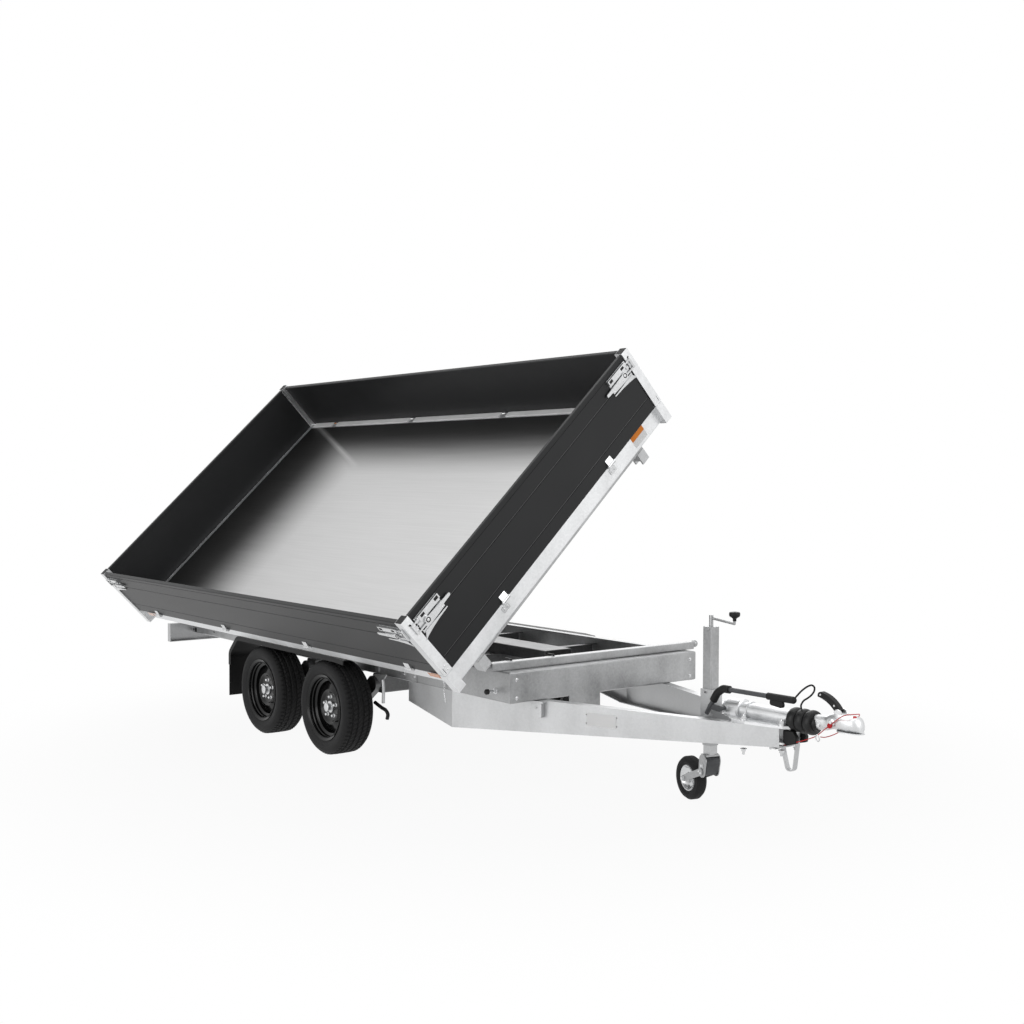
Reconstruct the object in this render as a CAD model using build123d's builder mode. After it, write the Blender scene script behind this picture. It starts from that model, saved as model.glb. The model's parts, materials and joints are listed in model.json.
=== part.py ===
from build123d import *
import math
import os

# Tandem dump trailer, bed tipped to its right side, parked on its jockey wheel.
# Millimetres. Origin at the centre of the tow ball, +X towards the towing vehicle,
# +Y to the left, +Z up. Heights are named above the ground and turned into Z by up().

# Driving sizes of the trailer
BALL_HEIGHT = 490.0
TYRE_DIAMETER = 525.0
TYRE_WIDTH = 195.0
RIM_DIAMETER = 366.0
AXLE_FRONT_X = -2850.0
AXLE_SPACING = 742.0
WHEEL_Y = 810.0

# Chassis frame, folded from one thickness of sheet
SHEET = 4.0
BEND = 9.0
RAIL_OUTER_Y = 643.5
RAIL_BOTTOM = 446.0
RAIL_HEIGHT = 154.0
RAIL_FLANGE = 50.0
FRAME_FRONT_X = -1498.0
FRAME_LENGTH = 3600.0
CROSS_HEIGHT = 110.0
CROSS_FLANGE = 45.0

# Tipping pivots: a square bar with a ball at each end, front and rear
PIVOT_HEIGHT = 626.0
PIVOT_Y = 727.0
PIVOT_BALL_RADIUS = 20.0
PIVOT_BAR_WIDTH = 50.0
PIVOT_BAR_HEIGHT = 40.0
PIVOT_BAR_END = 28.0
PIVOT_FRONT_X = -1589.0
PIVOT_REAR_X = -5030.0
PIVOT_GAP = 0.5
TIP_ANGLE = 43.86

# Bed, named as it lies when lowered
BED_FRONT_X = -1468.0
BED_LENGTH = 3658.0
BED_WIDTH = 1919.0
BED_BOTTOM = 728.0
POST_HEIGHT = 475.0
POST_SIZE = 52.0
POST_WALL = 5.0
STUB_HEIGHT = 113.0
RIM_LIFT = 7.0
RIM_HEIGHT = 112.0
RIM_FLANGE = 44.0
RIM_LIP = 14.0
RIM_INSET = 37.0
FLOOR_SHEET = 5.0
BEARER_HEIGHT = 70.0
BEARER_WIDTH = 40.0
BAY_BEARERS = 4
LONGERON_Y = 420.0
LONGERON_WIDTH = 60.0
LONGERON_BOTTOM = 662.0

# Boards and their hinges
BOARD_HEIGHT = 357.0
BOARD_THICK = 25.0
BOARD_INSET = 6.0
BOARD_GAP = 5.0
BOARD_DROP = 6.0
GROOVE_HEIGHTS = [71.0, 251.0]
GROOVE_DEPTH = 2.0
GROOVE_WIDTH = 4.0
BEAD_HEIGHT = 25.0
HINGE_OUT = 3.0
HINGE_DROP = 1.0
HINGE_PIN = 4.0
HINGE_BORE = 4.3
HINGE_BARREL = 7.0
HINGE_LENGTH = 44.0
SIDE_HINGES = 4
SIDE_HINGE_PITCH = 990.0
SIDE_HINGE_SHIFT = 44.0
END_HINGES = 2
END_HINGE_PITCH = 943.0

# Drawbar: two folded beams in a V
BEAM_TOP = 446.0
BEAM_KINK_X = -2010.0
BEAM_KINK_Y = 620.0
BEAM_NOSE_X = -322.0
BEAM_NOSE_Y = 62.0
BEAM_DEEP = 193.0
BEAM_SHALLOW = 86.0
BEAM_REAR_X = -2410.0
BEAM_REAR_DEEP = 112.0
BEAM_FLANGE = 50.0

# Coupling
TOW_HEIGHT = 484.0
HOUSING_REAR_X = -690.0
HOUSING_FRONT_X = -262.0
HOUSING_RADIUS = 37.5
BELLOWS_FRONT_X = -128.0
BALL_RADIUS = 25.0

# Jockey wheel
MAST_X = -769.0
MAST_Y = -19.5
MAST_SIZE = 54.0
MAST_TOP = 850.0
MAST_BOTTOM = 293.0
JOCKEY_DIAMETER = 207.0
JOCKEY_WIDTH = 62.0
JOCKEY_TRAIL_X = -159.0
JOCKEY_TRAIL_Y = 40.0
FORK_TOP = 250.0

# Lift cylinder
RAM_X = AXLE_FRONT_X - AXLE_SPACING / 2
RAM_PIVOT_HEIGHT = 450.0
RAM_EYE_HEIGHT = 700.0
RAM_BALL_RADIUS = 24.0
BARREL_RADIUS = 55.0
BARREL_HALF = 165.0
BARREL_WALL = 12.0
STAGE_WALL = 10.0
STAGE_GAP = 0.5
RAM_BEARER = 110.0

# Small gap between two pieces that seat on each other
SEAT = 0.3

BASE_ALIGN = (Align.CENTER, Align.CENTER, Align.MIN)


def up(height):
    """Z of a height above the ground."""
    return height - BALL_HEIGHT


# The tip turns the lowered bed about the line through the two right-hand balls.
TIP = (
    Pos(0, -PIVOT_Y, up(PIVOT_HEIGHT))
    * Rot(TIP_ANGLE, 0, 0)
    * Pos(0, PIVOT_Y, -up(PIVOT_HEIGHT))
)


def tipped(flat):
    """Plane of the tipped bed that lies at the given plane when the bed is lowered."""
    return Plane(TIP * flat.location)


BED = tipped(Plane.XY)


def block(xs, ys, zs, mode=Mode.ADD):
    """Box between two values on each axis, in the frame of the part being built."""
    with Locations(((xs[0] + xs[1]) / 2, (ys[0] + ys[1]) / 2, (zs[0] + zs[1]) / 2)):
        Box(abs(xs[1] - xs[0]), abs(ys[1] - ys[0]), abs(zs[1] - zs[0]), mode=mode)


def prism(plane, outline, depth, mode=Mode.ADD, rounding=0.0):
    """Closed outline on a plane, carried along the plane's normal, its corners rounded."""
    with BuildSketch(plane) as profile:
        with BuildLine():
            Polyline(*outline, close=True)
        make_face()
        if rounding > 0:
            fillet(profile.vertices(), rounding)
    extrude(profile.sketch, amount=depth, mode=mode)


def link(plane, circles, depth, mode=Mode.ADD):
    """Flat link whose outline wraps round circles given as (x, y, radius)."""
    with BuildSketch(plane) as profile:
        for x, y, radius in circles:
            with Locations((x, y)):
                Circle(radius)
        make_hull()
    extrude(profile.sketch, amount=depth, mode=mode)


def rod(start, end, radius, mode=Mode.ADD):
    """Round bar between two points."""
    axis = Vector(*end) - Vector(*start)
    with BuildSketch(Plane(origin=start, z_dir=axis)) as section:
        Circle(radius)
    extrude(section.sketch, amount=axis.length, mode=mode)


def folded(plane, height, flange, length, lip=None):
    """Folded channel. The plane stands at the middle of the web's outer face, its x
    points to the open side and its normal along the run. The lip is the lower flange."""
    low = flange if lip is None else lip
    with BuildSketch(plane) as section:
        with Locations((flange, 0)):
            RectangleRounded(2 * flange, height, BEND)
            RectangleRounded(2 * (flange - SHEET), height - 2 * SHEET, BEND - SHEET, mode=Mode.SUBTRACT)
        with Locations((flange, 0)):
            Rectangle(2 * flange, 2 * height, align=(Align.MIN, Align.CENTER), mode=Mode.SUBTRACT)
        if low < flange:
            with Locations((low, 0)):
                Rectangle(2 * flange, height, align=(Align.MIN, Align.MAX), mode=Mode.SUBTRACT)
    extrude(section.sketch, amount=length)


def cord(points, diameter):
    """A cord along points, with an arc at each that is as large as the two runs beside it allow."""
    places = [Vector(*point) for point in points]
    runs = [after - before for before, after in zip(places, places[1:])]
    radii = []
    for before, after in zip(runs, runs[1:]):
        half_turn = math.radians(before.get_angle(after)) / 2
        radii.append(0.45 * min(before.length, after.length) / math.tan(half_turn))
    print("cord", round(sum(run.length for run in runs)), "mm, radii", [round(radius) for radius in radii])
    with BuildLine() as route:
        FilletPolyline(*points, radius=radii)
    with BuildSketch(Plane(origin=places[0], z_dir=runs[0])) as section:
        Circle(diameter / 2)
    sweep(section.sketch, path=route.wire())


def turned(plane, axis, outline):
    """Closed half section on a plane, revolved about an axis."""
    with BuildSketch(plane) as half_section:
        with BuildLine():
            Polyline(*outline, close=True)
        make_face()
    revolve(half_section.sketch, axis=axis)


def write(piece, name):
    piece.part.label = name
    export_step(piece.part, f"parts/{name}.step")


os.makedirs("parts", exist_ok=True)

# Chassis rails: channels that open inwards, with lashing holes near the rear end
FRAME_REAR_X = FRAME_FRONT_X - FRAME_LENGTH
RAIL_MIDDLE = RAIL_BOTTOM + RAIL_HEIGHT / 2
RAIL_FRONT_X = FRAME_FRONT_X - SHEET
LASHING_HOLE = 34.0
LASHING_PLACES = [(95.0, 34.0), (160.0, 22.0)]
with BuildPart() as chassis_rails:
    left_web = Plane(
        origin=(FRAME_REAR_X, RAIL_OUTER_Y, up(RAIL_MIDDLE)), x_dir=(0, -1, 0), z_dir=(1, 0, 0)
    )
    folded(left_web, RAIL_HEIGHT, RAIL_FLANGE, RAIL_FRONT_X - FRAME_REAR_X)
    for forward, width in LASHING_PLACES:
        x = FRAME_REAR_X + forward
        block(
            (x - width / 2, x + width / 2),
            (RAIL_OUTER_Y - 2 * SHEET, RAIL_OUTER_Y + SHEET),
            (up(RAIL_MIDDLE) - LASHING_HOLE / 2, up(RAIL_MIDDLE) + LASHING_HOLE / 2),
            Mode.SUBTRACT,
        )
    mirror(about=Plane.XZ)
write(chassis_rails, "chassis_rails")

# Front cross member: a folded sheet across the rails, with a tab for the plug below
TAB_EDGES_Y = (-263.0, -55.0)
TAB_BOTTOM = 366.0
TAB_RETURN = 26.0
with BuildPart() as front_crossmember:
    front_web = Plane(
        origin=(FRAME_FRONT_X, -RAIL_OUTER_Y, up(RAIL_MIDDLE)), x_dir=(-1, 0, 0), z_dir=(0, 1, 0)
    )
    folded(front_web, RAIL_HEIGHT, RAIL_FLANGE, 2 * RAIL_OUTER_Y)
    inner_half = RAIL_OUTER_Y - RAIL_FLANGE
    for side in (-1, 1):
        block(
            (FRAME_FRONT_X - 2 * RAIL_FLANGE, FRAME_FRONT_X - SHEET),
            (side * inner_half, side * (RAIL_OUTER_Y + SHEET)),
            (up(RAIL_BOTTOM) - SHEET, up(RAIL_BOTTOM + RAIL_HEIGHT) + SHEET),
            Mode.SUBTRACT,
        )
    block(
        (FRAME_FRONT_X - SHEET, FRAME_FRONT_X),
        TAB_EDGES_Y,
        (up(TAB_BOTTOM), up(RAIL_BOTTOM) + BEND),
    )
    block(
        (FRAME_FRONT_X - TAB_RETURN, FRAME_FRONT_X),
        (TAB_EDGES_Y[1] - SHEET, TAB_EDGES_Y[1]),
        (up(TAB_BOTTOM), up(RAIL_BOTTOM) + SHEET),
    )
write(front_crossmember, "front_crossmember")

# Cross members between the webs of the rails: place, and the side that they open to
CRADLE_REACH = 190.0
CROSS_BOTTOM = RAIL_BOTTOM + SHEET
CROSS_TOP = CROSS_BOTTOM + CROSS_HEIGHT
CROSS_INSET = 58.0
front_cross = FRAME_FRONT_X - 432.0
axle_cross = AXLE_FRONT_X + 520.0
rear_first = RAM_X - CRADLE_REACH
rear_last = FRAME_REAR_X + CROSS_INSET
CROSSMEMBERS = [
    (front_cross, 1),
    (axle_cross, 1),
    (RAM_X + CRADLE_REACH, 1),
    (rear_first, -1),
    (rear_first + (rear_last - rear_first) / 3, -1),
    (rear_first + (rear_last - rear_first) * 2 / 3, -1),
    (rear_last, -1),
]
with BuildPart() as crossmembers:
    half = RAIL_OUTER_Y - BEND
    for x, opens in CROSSMEMBERS:
        web = Plane(
            origin=(x, -half, up(CROSS_BOTTOM + CROSS_HEIGHT / 2)), x_dir=(opens, 0, 0), z_dir=(0, 1, 0)
        )
        folded(web, CROSS_HEIGHT, CROSS_FLANGE, 2 * half)
write(crossmembers, "crossmembers")

# Spine: a folded cover along the middle, from the front cross member to the cylinder
SPINE_WIDTH = 190.0
SPINE_HEIGHT = 58.0
with BuildPart() as spine:
    spine_front = front_cross + CROSS_FLANGE - BEND
    spine_rear = RAM_X + CRADLE_REACH
    spine_plane = Plane(origin=(spine_rear, 0, up(CROSS_TOP)), x_dir=(0, 1, 0), z_dir=(1, 0, 0))
    with BuildSketch(spine_plane) as spine_section:
        with Locations((0, SPINE_HEIGHT / 2 - BEND)):
            RectangleRounded(SPINE_WIDTH, SPINE_HEIGHT + 2 * BEND, BEND)
            RectangleRounded(
                SPINE_WIDTH - 2 * SHEET, SPINE_HEIGHT + 2 * BEND - 2 * SHEET, BEND - SHEET, mode=Mode.SUBTRACT
            )
        Rectangle(2 * SPINE_WIDTH, 4 * BEND, align=(Align.CENTER, Align.MAX), mode=Mode.SUBTRACT)
    extrude(spine_section.sketch, amount=spine_front - spine_rear)
write(spine, "spine")

# Pivot bars: a square bar across the rails, with a ball at each end
BAR_BOTTOM = RAIL_BOTTOM + RAIL_HEIGHT
BALL_NECK = 13.0
with BuildPart() as pivot_bars:
    bar_end = PIVOT_Y - PIVOT_BAR_END
    for x in (PIVOT_FRONT_X, PIVOT_REAR_X):
        bar_plane = Plane(
            origin=(x, -bar_end, up(BAR_BOTTOM + PIVOT_BAR_HEIGHT / 2)), x_dir=(1, 0, 0), z_dir=(0, 1, 0)
        )
        with BuildSketch(bar_plane) as bar_section:
            RectangleRounded(PIVOT_BAR_WIDTH, PIVOT_BAR_HEIGHT, SHEET)
        extrude(bar_section.sketch, amount=2 * bar_end)
        rod((x, -PIVOT_Y, up(PIVOT_HEIGHT)), (x, PIVOT_Y, up(PIVOT_HEIGHT)), BALL_NECK)
        with Locations((x, -PIVOT_Y, up(PIVOT_HEIGHT)), (x, PIVOT_Y, up(PIVOT_HEIGHT))):
            Sphere(PIVOT_BALL_RADIUS)
write(pivot_bars, "pivot_bars")

# Drawbar beams: channels that open inwards, deep at the kink and shallow at the nose
beam_run = math.hypot(BEAM_NOSE_X - BEAM_KINK_X, BEAM_NOSE_Y - BEAM_KINK_Y)
beam_dir = (
    (BEAM_NOSE_X - BEAM_KINK_X) / beam_run,
    (BEAM_NOSE_Y - BEAM_KINK_Y) / beam_run,
)
kink = (BEAM_KINK_X, BEAM_KINK_Y, up(BEAM_TOP))
slope_plane = Plane(origin=kink, x_dir=(beam_dir[0], beam_dir[1], 0), z_dir=(beam_dir[1], -beam_dir[0], 0))
rear_plane = Plane(origin=kink, x_dir=(1, 0, 0), z_dir=(0, -1, 0))
rear_run = BEAM_REAR_X - BEAM_KINK_X


def web_outline(run, end_depth, wall):
    """Tapering web from the kink to an end. With a wall it is the open space inside."""
    past = 1.5 if wall > 0 else 1.0
    fall = (BEAM_DEEP - end_depth) * (past - 1.0)
    return [
        (0, -wall),
        (0, -BEAM_DEEP + wall),
        (run * past, -end_depth + wall + fall),
        (run * past, -wall),
    ]


with BuildPart() as drawbar_beams:
    prism(slope_plane, web_outline(beam_run, BEAM_SHALLOW, 0.0), BEAM_FLANGE)
    prism(rear_plane, web_outline(rear_run, BEAM_REAR_DEEP, 0.0), BEAM_FLANGE)
    for plane, run, deep in ((slope_plane, beam_run, BEAM_SHALLOW), (rear_plane, rear_run, BEAM_REAR_DEEP)):
        prism(plane.offset(SHEET), web_outline(run, deep, SHEET), 2 * BEAM_FLANGE, Mode.SUBTRACT)
    mirror(about=Plane.XZ)
write(drawbar_beams, "drawbar_beams")


def beam_y(x):
    """Outer face of the left drawbar beam at a place along the trailer."""
    return BEAM_KINK_Y + (x - BEAM_KINK_X) * (BEAM_NOSE_Y - BEAM_KINK_Y) / (BEAM_NOSE_X - BEAM_KINK_X)


def beam_depth(x):
    """Depth of a drawbar beam's slope at a place along the trailer."""
    return BEAM_DEEP + (x - BEAM_KINK_X) * (BEAM_SHALLOW - BEAM_DEEP) / (BEAM_NOSE_X - BEAM_KINK_X)


# Drawbar plates: a cross plate that carries the mast clamp, and the safety hoop under the nose
PLATE_THICK = 8.0
CLAMP_WALL = 6.0
CLAMP_BOTTOM = 424.0
CLAMP_TOP = 559.0
CLAMP_SLOT = 20.0
CROSS_PLATE_DEPTH = 90.0
BRACKET_X = MAST_X + MAST_SIZE / 2 + CLAMP_WALL + SEAT
HOOP_WIDTH = 26.0
HOOP_THICK = 6.0
HOOP_PATH = [(-351.0, 352.0), (-322.0, 253.0), (-286.0, 256.0), (-270.0, 372.0), (-270.0, 441.0)]
STRAP_HALF = 15.0
with BuildPart() as drawbar_plates:
    bracket_half = beam_y(BRACKET_X + PLATE_THICK) - SHEET - 1.0
    block(
        (BRACKET_X, BRACKET_X + PLATE_THICK),
        (-bracket_half, bracket_half),
        (up(BEAM_TOP - CROSS_PLATE_DEPTH), up(BEAM_TOP - SHEET)),
    )
    block(
        (BRACKET_X, BRACKET_X + PLATE_THICK),
        (MAST_Y - MAST_SIZE / 2 - CLAMP_WALL, MAST_Y + MAST_SIZE / 2 + CLAMP_WALL),
        (up(BEAM_TOP) - 2 * SHEET, up(CLAMP_TOP)),
    )
    outer = MAST_SIZE / 2 + SEAT + CLAMP_WALL
    inner = MAST_SIZE / 2 + SEAT
    block(
        (MAST_X - outer, BRACKET_X),
        (MAST_Y - outer, MAST_Y + outer),
        (up(CLAMP_BOTTOM), up(CLAMP_TOP)),
    )
    block(
        (MAST_X - inner, MAST_X + inner),
        (MAST_Y - inner, MAST_Y + inner),
        (up(CLAMP_BOTTOM) - 1.0, up(CLAMP_TOP) + 1.0),
        Mode.SUBTRACT,
    )
    block(
        (MAST_X - CLAMP_SLOT / 2, MAST_X + CLAMP_SLOT / 2),
        (MAST_Y - 2 * outer, MAST_Y),
        (up(CLAMP_TOP) - CLAMP_SLOT, up(CLAMP_TOP) - CLAMP_SLOT / 2),
        Mode.SUBTRACT,
    )
    # Safety hoop: a flat strap in a U under the nose
    with BuildSketch(Plane.XZ.offset(-HOOP_WIDTH / 2)) as hoop_side:
        with BuildLine() as hoop_line:
            FilletPolyline(*[(x, up(height)) for x, height in HOOP_PATH], radius=18.0)
        trace(line_width=HOOP_THICK)
    extrude(hoop_side.sketch, amount=HOOP_WIDTH)
    # Cross straps that hang the hoop from the lower flanges and from the housing's foot
    strap_x = HOOP_PATH[0][0]
    strap_rear_top = up(BEAM_TOP - beam_depth(strap_x - STRAP_HALF)) - SEAT
    block((strap_x - STRAP_HALF, strap_x + STRAP_HALF), (-70.0, 70.0), (strap_rear_top - HOOP_THICK, strap_rear_top))
    strap_x = HOOP_PATH[-1][0] - STRAP_HALF + HOOP_THICK / 2
    block(
        (strap_x - STRAP_HALF, strap_x + STRAP_HALF),
        (-26.0, 26.0),
        (up(BEAM_TOP) - HOOP_THICK, up(BEAM_TOP) - SEAT),
    )
write(drawbar_plates, "drawbar_plates")

# Overrun housing: a cast tube with a domed rear end and collars, on a foot over the beams
FOOT_THICK = 12.0
DOME_RADIUS = 44.0
SHAFT_X = HOUSING_REAR_X + 30.0
COLLAR_RADIUS = 41.5
FOOT_OUTLINE = [
    (-640.0, 40.0),
    (-600.0, 84.0),
    (-560.0, 112.0),
    (-480.0, 112.0),
    (-300.0, 66.0),
    (-276.0, 40.0),
]
tow_axis = Axis((0, 0, up(TOW_HEIGHT)), (1, 0, 0))
with BuildPart() as overrun_housing:
    turned(
        Plane.XZ,
        tow_axis,
        [
            (HOUSING_REAR_X, up(TOW_HEIGHT)),
            (HOUSING_REAR_X, up(TOW_HEIGHT) + 22.0),
            (HOUSING_REAR_X + 8.0, up(TOW_HEIGHT) + 34.0),
            (HOUSING_REAR_X + 22.0, up(TOW_HEIGHT) + HOUSING_RADIUS),
            (HOUSING_FRONT_X - 26.0, up(TOW_HEIGHT) + HOUSING_RADIUS),
            (HOUSING_FRONT_X - 20.0, up(TOW_HEIGHT) + COLLAR_RADIUS - 4.0),
            (HOUSING_FRONT_X, up(TOW_HEIGHT) + COLLAR_RADIUS - 4.0),
            (HOUSING_FRONT_X, up(TOW_HEIGHT)),
        ],
    )
    foot = FOOT_OUTLINE + [(x, -y) for x, y in reversed(FOOT_OUTLINE)]
    prism(Plane.XY.offset(up(BEAM_TOP)), foot, FOOT_THICK, rounding=10.0)
    # Shoulders of the casting beside the rear of the tube, under the lever's shaft
    link(
        Plane.YZ.offset(HOUSING_REAR_X + 28.0),
        [
            (-30.0, up(BEAM_TOP) + 14.0, 14.0),
            (30.0, up(BEAM_TOP) + 14.0, 14.0),
            (0.0, up(TOW_HEIGHT) + 4.0, DOME_RADIUS - 4.0),
        ],
        74.0,
    )
    # Rib along each side of the tube and the ring behind it
    link(
        Plane.YZ.offset(HOUSING_REAR_X + 150.0),
        [
            (-44.0, up(BEAM_TOP) + 10.0, 10.0),
            (44.0, up(BEAM_TOP) + 10.0, 10.0),
            (0.0, up(TOW_HEIGHT) + 4.0, DOME_RADIUS - 4.0),
        ],
        9.0,
    )
    # Bosses under the four bolts
    with Locations(
        (-500.0, 92.0, up(BEAM_TOP)), (-500.0, -92.0, up(BEAM_TOP)), (-318.0, 50.0, up(BEAM_TOP)),
        (-318.0, -50.0, up(BEAM_TOP))
    ):
        Cylinder(15.0, FOOT_THICK + 6.0, align=BASE_ALIGN)
    # Boss that the handbrake's shaft turns in
    rod((SHAFT_X, -HOUSING_RADIUS / 2, up(TOW_HEIGHT)), (SHAFT_X, -DOME_RADIUS, up(TOW_HEIGHT)), 14.0)
    # The casting stays above the beams
    block((-800.0, -200.0), (-200.0, 200.0), (up(BEAM_TOP) - 100.0, up(BEAM_TOP)), Mode.SUBTRACT)
write(overrun_housing, "overrun_housing")

# Bellows: three full folds between the housing and the coupling
FOLDS = 3
FOLD_RADIUS = 55.0
FOLD_WAIST = 40.0
with BuildPart() as overrun_bellows:
    with BuildSketch(Plane.XZ) as bellows_profile:
        pitch = (BELLOWS_FRONT_X - HOUSING_FRONT_X - 2 * SEAT) / FOLDS
        with Locations(((HOUSING_FRONT_X + BELLOWS_FRONT_X) / 2, up(TOW_HEIGHT))):
            Rectangle(FOLDS * pitch, FOLD_WAIST, align=(Align.CENTER, Align.MIN))
        for i in range(FOLDS):
            with Locations(
                (HOUSING_FRONT_X + SEAT + (i + 0.5) * pitch, up(TOW_HEIGHT) + FOLD_RADIUS - pitch / 2),
            ):
                Circle(pitch / 2)
        with Locations(((HOUSING_FRONT_X + BELLOWS_FRONT_X) / 2, up(TOW_HEIGHT))):
            Rectangle(
                FOLDS * pitch,
                FOLD_RADIUS + pitch,
                align=(Align.CENTER, Align.MAX),
                mode=Mode.SUBTRACT,
            )
    revolve(axis=tow_axis)
write(overrun_bellows, "overrun_bellows")

# Coupling head: a casting shaped from the side and from above, hollow over the ball
SIDE_SHAPE = [
    (BELLOWS_FRONT_X + SEAT, -28.0), (BELLOWS_FRONT_X + SEAT, 21.0), (-104.0, 18.0), (-84.0, 34.0), (
        -62.0,
        52.0,
    ),
    (-34.0, 72.0), (-16.0, 68.0), (-6.0, 52.0), (22.0, 50.0), (48.0, 36.0), (60.0, 10.0), (78.0, 4.0),
    (78.0, -3.0), (-40.0, -3.0), (-72.0, -12.0), (-96.0, -28.0)
]
TOP_SHAPE = [
    (BELLOWS_FRONT_X + SEAT, 23.0), (-104.0, 21.0), (-80.0, 27.0), (-40.0, 40.0), (0.0, 45.0), (36.0, 42.0),
    (64.0, 30.0), (79.0, 12.0)
]
BALL_PLAY = 0.5
with BuildPart() as coupling_head:
    prism(Plane.XZ.offset(-60.0), SIDE_SHAPE, 120.0)
    plan = TOP_SHAPE + [(x, -y) for x, y in reversed(TOP_SHAPE)]
    prism(Plane.XY.offset(-60.0), plan, 160.0, Mode.INTERSECT)
    crown = coupling_head.edges().filter_by(GeomType.LINE).filter_by(Axis.Y)
    fillet([edge for edge in crown if edge.center().Z > 30.0], 3.0)
    Sphere(BALL_RADIUS + BALL_PLAY, mode=Mode.SUBTRACT)
    with Locations((0, 0, -20.0)):
        Cylinder(BALL_RADIUS + BALL_PLAY, 20.0, align=BASE_ALIGN, mode=Mode.SUBTRACT)
write(coupling_head, "coupling_head")

# Coupling handle: a curved grip that rises from the back of the head
HANDLE_WIDTH = 26.0
HANDLE_LIFT = 0.4
root_low = (-58.0, 52.0 + (-58.0 + 62.0) * 20.0 / 28.0 + HANDLE_LIFT)
root_high = (-36.0, 52.0 + (-36.0 + 62.0) * 20.0 / 28.0 + HANDLE_LIFT)
with BuildPart() as coupling_handle:
    with BuildSketch(Plane.XZ.offset(-HANDLE_WIDTH / 2)) as handle_side:
        with BuildLine():
            ThreePointArc(root_high, (-80.0, 114.0), (-132.0, 135.0))
            ThreePointArc((-132.0, 135.0), (-151.0, 130.0), (-153.0, 114.0))
            ThreePointArc((-153.0, 114.0), (-106.0, 97.0), root_low)
            Line(root_low, root_high)
        make_face()
    extrude(handle_side.sketch, amount=HANDLE_WIDTH)
write(coupling_handle, "coupling_handle")

# Handbrake lever: a shaft beside the housing, and a tube that rises from it and lies forward
LEVER_Y = -75.0
LEVER_RADIUS = 11.0
LEVER_BEND = 30.0
LEVER_PATH = [(-742.0, 452.0), (-676.0, 556.0), (-640.0, 580.0), (-376.0, 582.0)]
LEVER_CLAMP = 0.35
lever_points = [(x, LEVER_Y, up(height)) for x, height in LEVER_PATH]
lever_start = Plane(origin=lever_points[0], z_dir=Vector(*lever_points[1]) - Vector(*lever_points[0]))
clamp_x = LEVER_PATH[0][0] + LEVER_CLAMP * (LEVER_PATH[1][0] - LEVER_PATH[0][0])
clamp_z = up(LEVER_PATH[0][1] + LEVER_CLAMP * (LEVER_PATH[1][1] - LEVER_PATH[0][1]))
with BuildPart() as handbrake_lever:
    with BuildLine():
        FilletPolyline(*lever_points, radius=LEVER_BEND)
    with BuildSketch(lever_start):
        Circle(LEVER_RADIUS)
    sweep()
    rod((SHAFT_X, LEVER_Y, up(TOW_HEIGHT)), (SHAFT_X, -DOME_RADIUS - SEAT, up(TOW_HEIGHT)), 9.0)
    link(
        Plane.XZ.offset(-LEVER_Y - 5.0),
        [(SHAFT_X, up(TOW_HEIGHT), 14.0), (clamp_x, clamp_z, 12.0)],
        10.0,
    )
write(handbrake_lever, "handbrake_lever")

# Brake cable: a sheathed loop from the end of the grip down to the crown of the first bellows fold
BRAKE_CABLE_DIAMETER = 8.0
BRAKE_CABLE_LOOP = [
    (-197.0, -69.0, 628.0), (-173.0, -61.0, 649.0), (-153.0, -54.0, 659.0), (-142.0, -48.0, 650.0),
    (-147.0, -43.0, 632.0), (-166.0, -36.0, 612.0), (-192.0, -29.0, 594.0), (-222.0, -23.0, 578.0)
]
CABLE_FOOT_TURN = 15.0
CABLE_FOOT_RISE = 17.0
fold_pitch = (BELLOWS_FRONT_X - HOUSING_FRONT_X - 2 * SEAT) / FOLDS
fold_x = HOUSING_FRONT_X + SEAT + fold_pitch / 2
foot_y = -math.sin(math.radians(CABLE_FOOT_TURN))
foot_z = math.cos(math.radians(CABLE_FOOT_TURN))
foot_reach = FOLD_RADIUS + 2 * SEAT
loop_points = [(x, y, up(height)) for x, y, height in BRAKE_CABLE_LOOP]

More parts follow.
